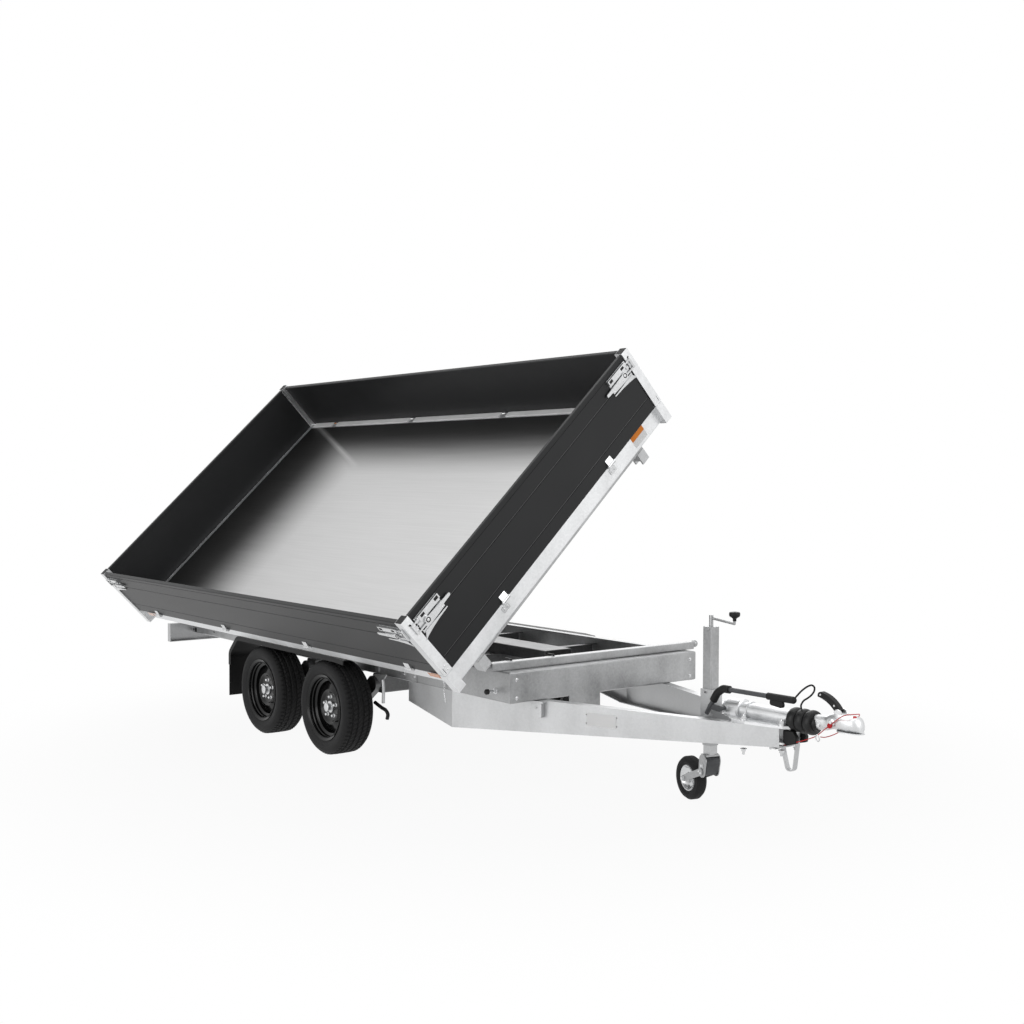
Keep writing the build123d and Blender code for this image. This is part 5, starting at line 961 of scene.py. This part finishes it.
# %% Ring about the housing, knob of the crank, carabiner
RING = [(-0.009, 0.0445), (-0.006, 0.0490), (0.006, 0.0490), (0.009, 0.0445)]
KNOB = [(0.0, 0.0085), (0.010, 0.0085), (0.014, 0.0105), (0.021, 0.0225), (0.027, 0.0255), (0.037, 0.0255),
        (0.0415, 0.0225), (0.0435, 0.010)]
LINK = [(-0.119, -0.060, -0.040), (-0.110, -0.061, -0.046), (-0.104, -0.060, -0.058),
        (-0.110, -0.059, -0.068), (-0.120, -0.058, -0.065), (-0.125, -0.059, -0.053),
        (-0.121, -0.060, -0.043)]
piece("housing_ring", [turned(RING, (-0.585, 0, TOW_Z), (1, 0, 0), 48)], "cast_zinc", "chassis")
piece("knob_wide", [turned(KNOB, (-0.625, -0.019, up(0.8875)), (0, 0, 1), 32)], "black_plastic", "chassis",
      replaces=["crank_knob"])
piece("carabiner", [along(curve(LINK, 30), 0.0026, 10)], "latch_zinc", "chassis")

# %% [markdown]
# ## Bolts of the frame
# Small fasteners sit on the faces that the solids give. A table names each place, its axis and its size,
# because bolts are put where the load is and follow no pattern.

# %% Fasteners of the frame
RAIL_FACE = 0.6435
FRONT_FACE = -1.498
NOSE_TOP = up(0.464)
NOSE_LOW = up(0.443)
BOLT_END = [(0.012, 0.0055), (0.020, 0.0055), (0.022, 0.004)]
BOLT_SHANK = [(0.0, 0.006), (0.026, 0.006), (0.028, 0.0045)]
BOLTS = [
    # x, y, height, axis, across the flats, height of the head
    *[(FRONT_FACE, y, height, (1, 0, 0), 0.010, 0.006)
      for y in (-0.600, 0.600) for height in (0.560, 0.470)],
    *[(x, side * RAIL_FACE, height, (0, side, 0), 0.013, 0.008)
      for side in (-1, 1) for x, height in ((-2.640, 0.560), (-2.670, 0.510), (-2.830, 0.560))],
    (-2.4195, -RAIL_FACE, 0.480, (0, -1, 0), 0.010, 0.006),
    (-2.3200, -RAIL_FACE, 0.479, (0, -1, 0), 0.010, 0.006),
]
shapes = []
for x, y, height, axis, flats, head_height in BOLTS:
    shapes += hexagon((x, y, up(height)), axis, flats, head_height)
for x, half, depth in ((-0.500, 0.092, 0.112), (-0.318, 0.050, 0.094)):
    for y in (half, -half):
        shapes += hexagon((x, y, NOSE_TOP), (0, 0, 1), 0.019, 0.014, 1.5)
        shapes.append(turned(BOLT_END, (x, y, NOSE_TOP), (0, 0, 1), 16))
        end = (x, y, NOSE_LOW - depth)
        shapes += hexagon(end, (0, 0, -1), 0.019, 0.014, 1.6)
        shapes.append(turned(BOLT_SHANK, end, (0, 0, -1), 16))
piece("frame_bolts", shapes, "latch_zinc", "chassis")

# %% [markdown]
# ## Locking pins
# A spring pin at the front of each rail chooses the side that the bed tips to, and a spare pin hangs from
# an eye on a short chain. The chain is a row of small rings, each turned by a quarter against the next,
# that sways a little.

# %% Locking pins and their chains
PIN_COLLAR = [(0, 0.016), (0.003, 0.016), (0.004, 0.012), (0.012, 0.011)]
PIN_KNOB = [(0.044, 0.010), (0.047, 0.0135), (0.060, 0.0135), (0.064, 0.010)]
EYE = [(0, 0.014), (0.003, 0.014), (0.0035, 0.009), (0.020, 0.009), (0.022, 0.006)]
EYE_X = -2.043
LINKS = 8
shapes, knobs = [], []
a = np.linspace(0, 2 * math.pi, 14)
for side in (-1, 1):
    pin = (-1.610, side * RAIL_FACE, up(0.497))
    shapes.append(turned(PIN_COLLAR, pin, (0, side, 0), 24))
    shapes.append(turned([(0.010, 0.0065), (0.046, 0.0065)], pin, (0, side, 0), 16))
    knobs.append(turned(PIN_KNOB, pin, (0, side, 0), 24))
    shapes.append(turned(EYE, (EYE_X, side * RAIL_FACE, up(0.520)), (0, side, 0), 24))
    hanging_y = side * (RAIL_FACE + 0.010)
    for k, share in enumerate(np.arange(LINKS) / LINKS):
        middle = np.array((EYE_X + 0.012 * math.sin(share * 2.6), hanging_y, up(0.508) - 0.075 * share))
        flat, upright = np.sin(a) * 0.0030, np.cos(a) * 0.0068
        ring = (flat, 0 * a, upright) if k % 2 == 0 else (0 * a, side * flat, upright)
        shapes.append(along(middle + np.stack(ring, -1), 0.0011, 8))
    shapes.append(turned([(0, 0.004), (0.046, 0.004), (0.050, 0.002)], (EYE_X + 0.012, hanging_y, up(0.432)),
                         (0.25, 0, -1), 12))
piece("locking_pins", shapes, "latch_zinc", "chassis")
piece("pin_knobs", knobs, "black_plastic", "chassis")

# %% [markdown]
# ## Openings in the rails
# The rails have punched holes near the rear and a gap where a plate ends. A hole could be cut out of the
# solid, but the frame's solids aren't touched here, so each opening is a dark plate 0.4 mm thick on the
# face of the rail, painted shade for the dark inside of the rail that shows through it.

# %% Openings in the rails
OPENINGS = [
    # x, height, width, tallness
    (-5.050, 0.467, 0.034, 0.030),
    (-5.083, 0.466, 0.018, 0.014),
    (-4.760, 0.478, 0.030, 0.006),
    (-2.295, 0.466, 0.003, 0.034),
]
shapes = []
for side in (-1, 1):
    ys = sorted((side * RAIL_FACE, side * (RAIL_FACE + 0.0004)))
    for x, height, wide, tall in OPENINGS:
        shapes.append(box((x - wide / 2, x + wide / 2), ys, (up(height - tall / 2), up(height + tall / 2))))
# Painted shade: black plates for the holes and the gap in each rail
piece("rail_opening_shade", shapes, "black_plastic", "chassis")

# %% [markdown]
# ## Plate and bracket on the right beam
# The outer face of the right beam carries a riveted plate, blank here, and a bracket for a stowed part.
# The beam runs at a slant, so both are drawn in its own directions, along it, out of it and upwards.

# %% Blank plate and bracket on the beam
BEAM_WAY = np.array((0.9495, 0.3139, 0.0))
BEAM_OUT = np.array((0.3139, -0.9495, 0.0))
BEAM_POINT = np.array((-2.010, -0.620, 0.0))
UPWARDS = np.array((0.0, 0.0, 1.0))


def on_beam(run, height):
    """The kink of the right beam plus the run times its direction, at a height: a point of its outer face."""
    return BEAM_POINT + BEAM_WAY * run + UPWARDS * up(height)


PLATE_RUN = 0.8835
PLATE_MIDDLE = 0.3825
outline = rounded_rectangle(on_beam(PLATE_RUN, PLATE_MIDDLE), BEAM_WAY, UPWARDS, 0.158, 0.062, 0.002)
piece("blank_plate", [plate(outline, BEAM_OUT * 0.0001, BEAM_OUT * 0.0014)], "floor_aluminium", "chassis",
      finish="white_print")
shapes = []
for run in (-0.083, 0.083):
    for rise in (-0.021, 0.021):
        shapes += dome(on_beam(PLATE_RUN + run, PLATE_MIDDLE + rise), BEAM_OUT, 0.0034, 0.0020)
piece("plate_rivets", shapes, "lever_steel", "chassis")
shelf = rounded_rectangle(on_beam(0.532, 0.440), BEAM_WAY, UPWARDS, 0.078, 0.010, 0.002)
face = rounded_rectangle(on_beam(0.532, 0.401), BEAM_WAY, UPWARDS, 0.062, 0.072, 0.010)
shapes = [plate(shelf, BEAM_OUT * 0.0001, BEAM_OUT * 0.030), plate(face, BEAM_OUT * 0.026, BEAM_OUT * 0.030)]
for run in (0.503, 0.557):
    cheek = rounded_rectangle(on_beam(run, 0.401) + BEAM_OUT * 0.015, BEAM_OUT, UPWARDS, 0.028, 0.072, 0.002)
    shapes.append(plate(cheek, (0, 0, 0), BEAM_WAY * 0.004))
shapes += hexagon(on_beam(0.532, 0.415) + BEAM_OUT * 0.030, BEAM_OUT, 0.010, 0.006)
piece("beam_bracket", shapes, "galvanised_steel", "chassis", bevel=0.001)

# %% [markdown]
# ## Rubber on the frame
# Two rubber bands keep the bed from rattling on the front cross tube, and a plastic holder hangs under the
# nose of the drawbar. The bands are blocks that lie over an edge, and the holder is two plates with one
# outline.

# %% Rubber bands and the holder under the nose
BAND_HALF = 0.006
shapes = []
for y in (-0.556, -0.282):
    ys = (y - BAND_HALF, y + BAND_HALF)
    shapes.append(box((-1.645, -1.600), ys, (up(0.6462), up(0.6492))))
    shapes.append(box((-1.6002, -1.5975), ys, (up(0.598), up(0.6492))))
piece("rubber_bands", shapes, "black_plastic", "chassis", bevel=0.0006)
NOSE = [(-0.318, 0.437), (-0.262, 0.437), (-0.243, 0.412), (-0.247, 0.385), (-0.300, 0.372), (-0.318, 0.380)]
outline = [(x, 0, up(height)) for x, height in NOSE]
shapes = [plate(outline, (0, low, 0), (0, high, 0)) for low, high in ((-0.044, -0.020), (0.020, 0.044))]
piece("nose_holder", shapes, "black_plastic", "chassis", bevel=0.004)

# %% [markdown]
# ## Small parts on the front rim of the bed
# Everything on the bed is given as it lies when the bed is down, and then turned with it. The rim's front
# face carries a blank sticker in two colours and the plates of the hinges, each with two bolts.

# %% Stickers and hinge plates on the front rim
BED_ACROSS = np.array((0.0, math.cos(TIP), math.sin(TIP)))
BED_UP = np.array((0.0, -math.sin(TIP), math.cos(TIP)))
FORWARD = np.array((1.0, 0.0, 0.0))
HALF_WIDTH = 0.95975
BED_BOTTOM = 0.728
RIM_FRONT = -1.5052
STICKERS = [
    # name, its middle above the bottom of the posts, finish
    ("sticker_white", 0.047, "white_print"),
    ("sticker_orange", 0.085, "orange_print"),
]


def on_rim(across, above):
    """The turned point of the front rim's face: across from the right edge, above the bottom of the posts."""
    return tipped((RIM_FRONT, across - HALF_WIDTH, up(BED_BOTTOM + above)))


for name, above, finish in STICKERS:
    outline = rounded_rectangle(on_rim(1.696, above), BED_ACROSS, BED_UP, 0.109, 0.038, 0.003)
    piece(name, [plate(outline, FORWARD * 0.0001, FORWARD * 0.0005)], "amber_lens", "bed", finish=finish)
shapes = []
for across in (1.441, 0.478):
    outline = rounded_rectangle(on_rim(across, 0.064), BED_ACROSS, BED_UP, 0.050, 0.030, 0.004)
    shapes.append(plate(outline, FORWARD * 0.0002, FORWARD * 0.004))
    for shift in (-0.012, 0.012):
        shapes += hexagon(on_rim(across + shift, 0.064) + FORWARD * 0.004, FORWARD, 0.010, 0.006, 1.5)
piece("rim_brackets", shapes, "latch_zinc", "bed", bevel=0.0006)

# %% [markdown]
# ## Caps of the posts
# The corner posts are square tubes, and a black plastic cap closes each. It stands out by less than half a
# millimetre, so only its edge and its colour show.

# %% Caps in the tops of the corner posts
POST_HALF = 0.0248
POST_TOP = up(BED_BOTTOM + 0.475)
shapes = []
for x in (-1.494, -5.100):
    for side in (-1, 1):
        middle = tipped((x, side * (HALF_WIDTH - 0.026), POST_TOP))
        outline = rounded_rectangle(middle, FORWARD, BED_ACROSS, 2 * POST_HALF, 2 * POST_HALF, 0.004)
        shapes.append(plate(outline, BED_UP * -0.006, BED_UP * 0.0003))
piece("post_caps", shapes, "black_plastic", "bed", bevel=0.0005)

# %% [markdown]
# ## Struts and pipes before the front wheels
# A gusset and a round strut stand before each front wheel, and a bent rubber pipe carries the brake's
# cable past them. They are drawn for the left side, and the right side is their mirror image in y.

# %% Struts and brake pipes
GUSSET = [(-2.640, 0.700, 0.458), (-2.505, 0.700, 0.470), (-2.560, 0.700, 0.412)]
STRUT = [(-2.535, 0.704, 0.440), (-2.531, 0.704, 0.375), (-2.533, 0.704, 0.312)]
PIPE = [(-2.640, 0.690, 0.300), (-2.573, 0.690, 0.281), (-2.530, 0.690, 0.272), (-2.509, 0.690, 0.252),
        (-2.516, 0.690, 0.226)]
shapes, pipes = [], []
for side in (-1, 1):
    gusset, strut, pipe = (np.array(line) * (1, side, 1) - (0, 0, BALL_HEIGHT)
                           for line in (GUSSET, STRUT, PIPE))
    shapes.append(plate(gusset, (0, side * -0.004, 0), (0, 0, 0)))
    shapes.append(along(curve(strut, 8), 0.009, 12))
    pipes.append(along(curve(pipe, 24), 0.010, 12))
piece("guard_struts", shapes, "galvanised_steel", "chassis", bevel=0.0006)
piece("brake_pipes", pipes, "black_plastic", "chassis")

# %% [markdown]
# ## Strip, lenses and beads of the bed
# A pale strip lies beside the left board and is cut away at the hinges, amber lenses sit in the side rims,
# and two shallow beads stiffen each end board. The beads are a fold in the real sheet, whose edge catches
# the light as a pale line, so a painted highlight two millimetres high is drawn for each.

# %% Strip, lenses and beads
HINGES = [-3.253 + k * 0.990 for k in (-1.5, -0.5, 0.5, 1.5)]
HINGE_GAP = 0.032
BEAD_HEIGHTS = (0.9145, 1.0945)


def low_box(xs, ys, heights):
    """A block of the lowered bed, its eight corners turned with the bed."""
    points, faces = box(xs, ys, (up(heights[0]), up(heights[1])))
    return tipped(points), faces


ends = [-5.030] + [x + half for x in HINGES for half in (-HINGE_GAP, HINGE_GAP)] + [-1.560]
shapes = [low_box(xs, (0.889, 0.926), (0.8475, 0.8520)) for xs in zip(ends[::2], ends[1::2])]
piece("floor_strip", shapes, "galvanised_steel", "bed", finish="edge_strip")
shapes = []
for x in (-1.568, -4.880):
    for ys in ((-0.9612, -0.9595), (0.9595, 0.9612)):
        shapes.append(low_box((x - 0.045, x + 0.045), ys, (0.822, 0.847)))
piece("marker_glass", shapes, "amber_lens", "bed", bevel=0.0005)
# Painted highlight: a pale line on the edge of each bead's fold
for name, face, out in (("front", -1.474, 1), ("rear", -5.120, -1)):
    xs = sorted((face + out * 0.0001, face + out * 0.0006))
    shapes = [low_box(xs, (-0.897, 0.897), (height, height + 0.0022)) for height in BEAD_HEIGHTS]
    piece(f"bead_highlights_{name}", shapes, "board_paint", f"board_{name}", finish="pale_bead")

# %% [markdown]
# ## Details of the latches
# The solids give each latch its plate, bar, disc, lever and rods. Close to, a real one also has slots in
# the bar, a riveted disc, an embossed lever, a flared lower edge and a short spring rod. Each is an
# outline on the board, from one distance off it to another, and the dark ones are painted shade for the
# gaps and slots, and for the gap round the disc. One table serves all eight corners: b runs inwards from
# the post's corner and c upwards from its foot.

# %% Details of the latches
BRIGHT_PARTS = [
    # outline (b, c), and the distances off the board
    ([(0.046, 0.318), (0.066, 0.326), (0.110, 0.334), (0.160, 0.340), (0.232, 0.344), (0.232, 0.350),
      (0.070, 0.352)], 0.0002, 0.0090),
    ([(0.142, 0.379), (0.176, 0.379), (0.176, 0.391), (0.142, 0.391)], 0.0158, 0.0168),
    ([(0.188, 0.380), (0.236, 0.380), (0.236, 0.390), (0.188, 0.390)], 0.0158, 0.0168),
    ([(0.040, 0.394), (0.080, 0.394), (0.080, 0.408), (0.040, 0.408)], 0.0040, 0.0110),
    ([(0.084, 0.400), (0.226, 0.400), (0.226, 0.408), (0.084, 0.408)], 0.0038, 0.0070),
]
# Painted shade: thin black plates for the latch's gaps and slots
GAP_SHADE_PARTS = [
    ([(0.094, 0.419), (0.120, 0.419), (0.120, 0.433), (0.094, 0.433)], 0.0168, 0.01702),
    ([(0.196, 0.418), (0.222, 0.418), (0.222, 0.434), (0.196, 0.434)], 0.0168, 0.01702),
    ([(0.066, 0.361), (0.092, 0.361), (0.092, 0.372), (0.066, 0.372)], 0.0039, 0.0044),
    ([(0.124, 0.395), (0.190, 0.396), (0.190, 0.3995), (0.124, 0.3995)], 0.0039, 0.0046),
    ([(0.134, 0.364), (0.214, 0.370), (0.214, 0.375), (0.134, 0.372)], 0.0039, 0.0046),
    ([(0.054, 0.396), (0.062, 0.396), (0.062, 0.406), (0.054, 0.406)], 0.0108, 0.0113),
]
RIVETS = [
    # b, c and the distance off the board
    (0.214, 0.362, 0.0040),
    (0.150, 0.433, 0.0159),
    (0.075, 0.433, 0.0159),
]
DISC = (0.114, 0.384, 0.0158)
END_Y, SIDE_Y = HALF_WIDTH, 0.9535
CORNERS = [
    # board, the post's corner (x, y) on the lowered bed, inwards, outwards
    *[(name, (x, sign * END_Y), (0, -sign), (out, 0))
      for name, x, out in (("front", -1.474, 1), ("rear", -5.120, -1)) for sign in (-1, 1)],
    *[(name, (x, sign * SIDE_Y), (inwards, 0), (0, sign))
      for name, sign in (("right", -1), ("left", 1)) for x, inwards in ((-1.468, -1), (-5.126, 1))],
]


def at_latch(corner, inwards, outwards, b, c, out):
    """The turned point: the post's corner, plus b inwards and out off the board, c above the post's foot."""
    x, y = np.array(corner) + b * np.array(inwards) + out * np.array(outwards)
    return tipped((x, y, up(BED_BOTTOM) + c))


bright = {name: [] for name in ("front", "rear", "left", "right")}
dark = {name: [] for name in bright}
for name, *corner in CORNERS:
    for parts, shapes in ((BRIGHT_PARTS, bright[name]), (GAP_SHADE_PARTS, dark[name])):
        for outline, *offs in parts:
            rings = [[at_latch(*corner, b, c, off) for b, c in outline] for off in offs]
            shapes.append(closed(np.array(rings)))
    axis = at_latch(*corner, 0, 0, 1.0) - at_latch(*corner, 0, 0, 0)
    bright[name] += dome(at_latch(*corner, *DISC), axis, 0.0085, 0.0011)
    # Painted shade: a black ring for the gap round the disc
    dark[name].append(turned([(0.0001, 0.0130), (0.0005, 0.0130)], at_latch(*corner, *DISC), axis, 32))
    for rivet in RIVETS:
        bright[name] += dome(at_latch(*corner, *rivet), axis, 0.0042, 0.0010)
for name in bright:
    piece(f"latch_details_{name}", bright[name], "latch_zinc", f"board_{name}", bevel=0.0005)
    piece(f"latch_gap_shade_{name}", dark[name], "black_plastic", f"board_{name}")

# %% [markdown]
# ## Hinge leaves
# A board's hinge is a zinc leaf whose lower end is rolled into a barrel. The board's own solid holds that
# form in one piece with the painted sheet, so a skin of zinc under a millimetre thick goes over it: the
# leaf as an outline that is drawn out along the board, and the barrel as a turned cylinder on the pin's
# line.

# %% Hinge leaves and barrels
END_HINGES = (-0.4715, 0.4715)
PIN_HEIGHT = 0.846
PIN_OUT = 0.009
BOARD_BOTTOM = 0.841
LEAF_HALF, BARREL_HALF = 0.0221, 0.0219
BARREL = [(0.0, 0.0073), (2 * BARREL_HALF, 0.0073)]
LEAF_OUTLINE = [
    # distance off the board, height above its lower edge
    (0.0001, 0.0052), (0.0001, 0.0405), (0.0035, 0.0405), (0.0094, 0.0126), (0.0110, 0.0100),
    (0.0094, 0.0052),
]
BOARD_FACES = [
    # board, place of its outer face, outwards, along, middles of its hinges
    ("front", (-1.474, 0.0), (1, 0), (0, 1), END_HINGES),
    ("rear", (-5.120, 0.0), (-1, 0), (0, 1), END_HINGES),
    ("right", (0.0, -SIDE_Y), (0, -1), (1, 0), HINGES),
    ("left", (0.0, SIDE_Y), (0, 1), (1, 0), HINGES),
]


def off_board(face, outwards, sideways, run, off, height):
    """The turned point: the board's face plus the run along it, plus off outwards, at a height."""
    x, y = np.array(face) + run * np.array(sideways) + off * np.array(outwards)
    return tipped((x, y, up(height)))


for name, *board, middles in BOARD_FACES:
    shapes = []
    for middle in middles:
        rings = [[off_board(*board, run, off, BOARD_BOTTOM + height) for off, height in LEAF_OUTLINE]
                 for run in (middle - LEAF_HALF, middle + LEAF_HALF)]
        shapes.append(closed(np.array(rings)))
        start = off_board(*board, middle - BARREL_HALF, PIN_OUT, PIN_HEIGHT)
        axis = off_board(*board, middle + BARREL_HALF, PIN_OUT, PIN_HEIGHT) - start
        shapes.append(turned(BARREL, start, axis, 32))
    piece(f"hinge_leaves_{name}", shapes, "latch_zinc", f"board_{name}", bevel=0.0003)

# %% [markdown]
# ## Rivets and holes of the posts
# Two rivets hold each post at its foot, and a hole near its top takes a lashing hook. The hole is a dark
# disc, painted shade for the inside of the post.

# %% Rivets and holes of the posts
shapes, hole_shades = [], []
for x, out in ((-1.468, 1), (-5.126, -1)):
    for side in (-1, 1):
        y = side * (HALF_WIDTH - 0.030)
        for height in (0.885, 0.862):
            shapes += dome(tipped((x, y, up(height))), (out, 0, 0), 0.0050, 0.0020)
        # Painted shade: a black disc for the lashing hole
        hole_shades.append(turned([(0, 0.0052), (0.0004, 0.0052)], tipped((x, y, up(1.163))), (out, 0, 0), 20))
piece("post_rivets", shapes, "latch_zinc", "bed")
piece("post_hole_shade", hole_shades, "black_plastic", "bed")

# %% [markdown]
# ## Jockey wheel
# The jockey wheel trails behind its swivel, and its axle lies across that slanted way. Its rim has a
# bright dished disc on each side, nuts and rivets sit on the cheeks of its fork, and a rubber buffer
# stands behind the swivel head.

# %% Jockey wheel: discs, nuts and buffer
JOCKEY_HUB = np.array((-0.928, 0.0205, up(0.1035)))
JOCKEY_WAY = np.array((-0.9698, 0.2440, 0.0))
JOCKEY_SIDE = np.array((-0.2440, -0.9698, 0.0))
SWIVEL = np.array((-0.769, -0.0195, 0.0))
DISH = [
    # distance outwards from the middle of the wheel, radius
    (0.008, 0.0585), (0.0222, 0.0600), (0.0243, 0.0590), (0.0240, 0.0560), (0.0170, 0.0500), (0.0110, 0.0420),
    (0.0100, 0.0270), (0.0160, 0.0190), (0.0200, 0.0170), (0.0200, 0.001),
]
BUFFER = [
    # distance along the trail, height
    (0.026, 0.243), (-0.012, 0.243), (-0.027, 0.232), (-0.034, 0.208), (-0.022, 0.172), (-0.002, 0.148),
    (0.024, 0.146), (0.030, 0.160),
]


def on_trail(run, height, off=0.0):
    """The swivel's foot plus the run along the trail, plus off to the side, at a height."""
    return SWIVEL + JOCKEY_WAY * run + UPWARDS * up(height) + JOCKEY_SIDE * off


shapes, nuts = [], []
for side in (-1, 1):
    axis = JOCKEY_SIDE * side
    shapes.append(turned(DISH, JOCKEY_HUB, axis, 48))
    nuts += hexagon(JOCKEY_HUB + axis * 0.0462, axis, 0.0190, 0.0100, 1.4)
    nuts += hexagon(on_trail(0.006, 0.196, side * 0.0412), axis, 0.0130, 0.0070, 1.5)
    for run, height in ((0.030, 0.166), (0.014, 0.160)):
        nuts += dome(on_trail(run, height, side * 0.0462), axis, 0.0060, 0.0025)
piece("jockey_discs", shapes, "galvanised_steel", "jockey_wheel", finish="latch_zinc")
piece("jockey_nuts", nuts, "galvanised_steel", "jockey_swivel", finish="latch_zinc")
outline = [on_trail(run, height) for run, height in BUFFER]
piece("jockey_cushion", [plate(outline, JOCKEY_SIDE * -0.034, JOCKEY_SIDE * 0.034)], "black_plastic",
      "jockey_swivel", finish="lever_steel", bevel=0.004, replaces=["jockey_buffer"])

# %% [markdown]
# ## Finishes of the solids
# The record gives each solid a slot, and so a finish. Zinc is never one grey, though, so a few solids get a
# zinc of their own. The bed's rim, posts and hinge brackets get a lighter one, which is a painted highlight.
# The front crossmember, rails, pivot bars, jockey mast and fork, and the bearers under the bed get a darker
# one, painted shade. The cross tubes, which hardly see the light, get the darkest, painted shade too.

# %% Finishes of the solids
TONES = {
    # painted highlight on the bed; painted shade on the cross tubes and on the parts in half shade
    "bright_zinc": ("bed_rim", "bed_posts", "hinge_brackets"),
    "beam_zinc": ("drawbar_beams", "drawbar_plates"),
    "shaded_zinc": ("crossmembers", "spine", "axle_beams"),
    "dull_zinc": ("front_crossmember", "pivot_bars", "jockey_mast", "jockey_fork", "chassis_rails",
                  "bed_bearers", "bed_longerons"),
}
own_finish = {node: tone for tone, members in TONES.items() for node in members}
for row in frame["record"]["subparts"]:
    solid = nodes[row["node"]]
    solid.data.materials.clear()
    solid.data.materials.append(finishes[own_finish.get(row["node"], row["material_slot"])])
print("solids with a zinc of their own", len(own_finish))
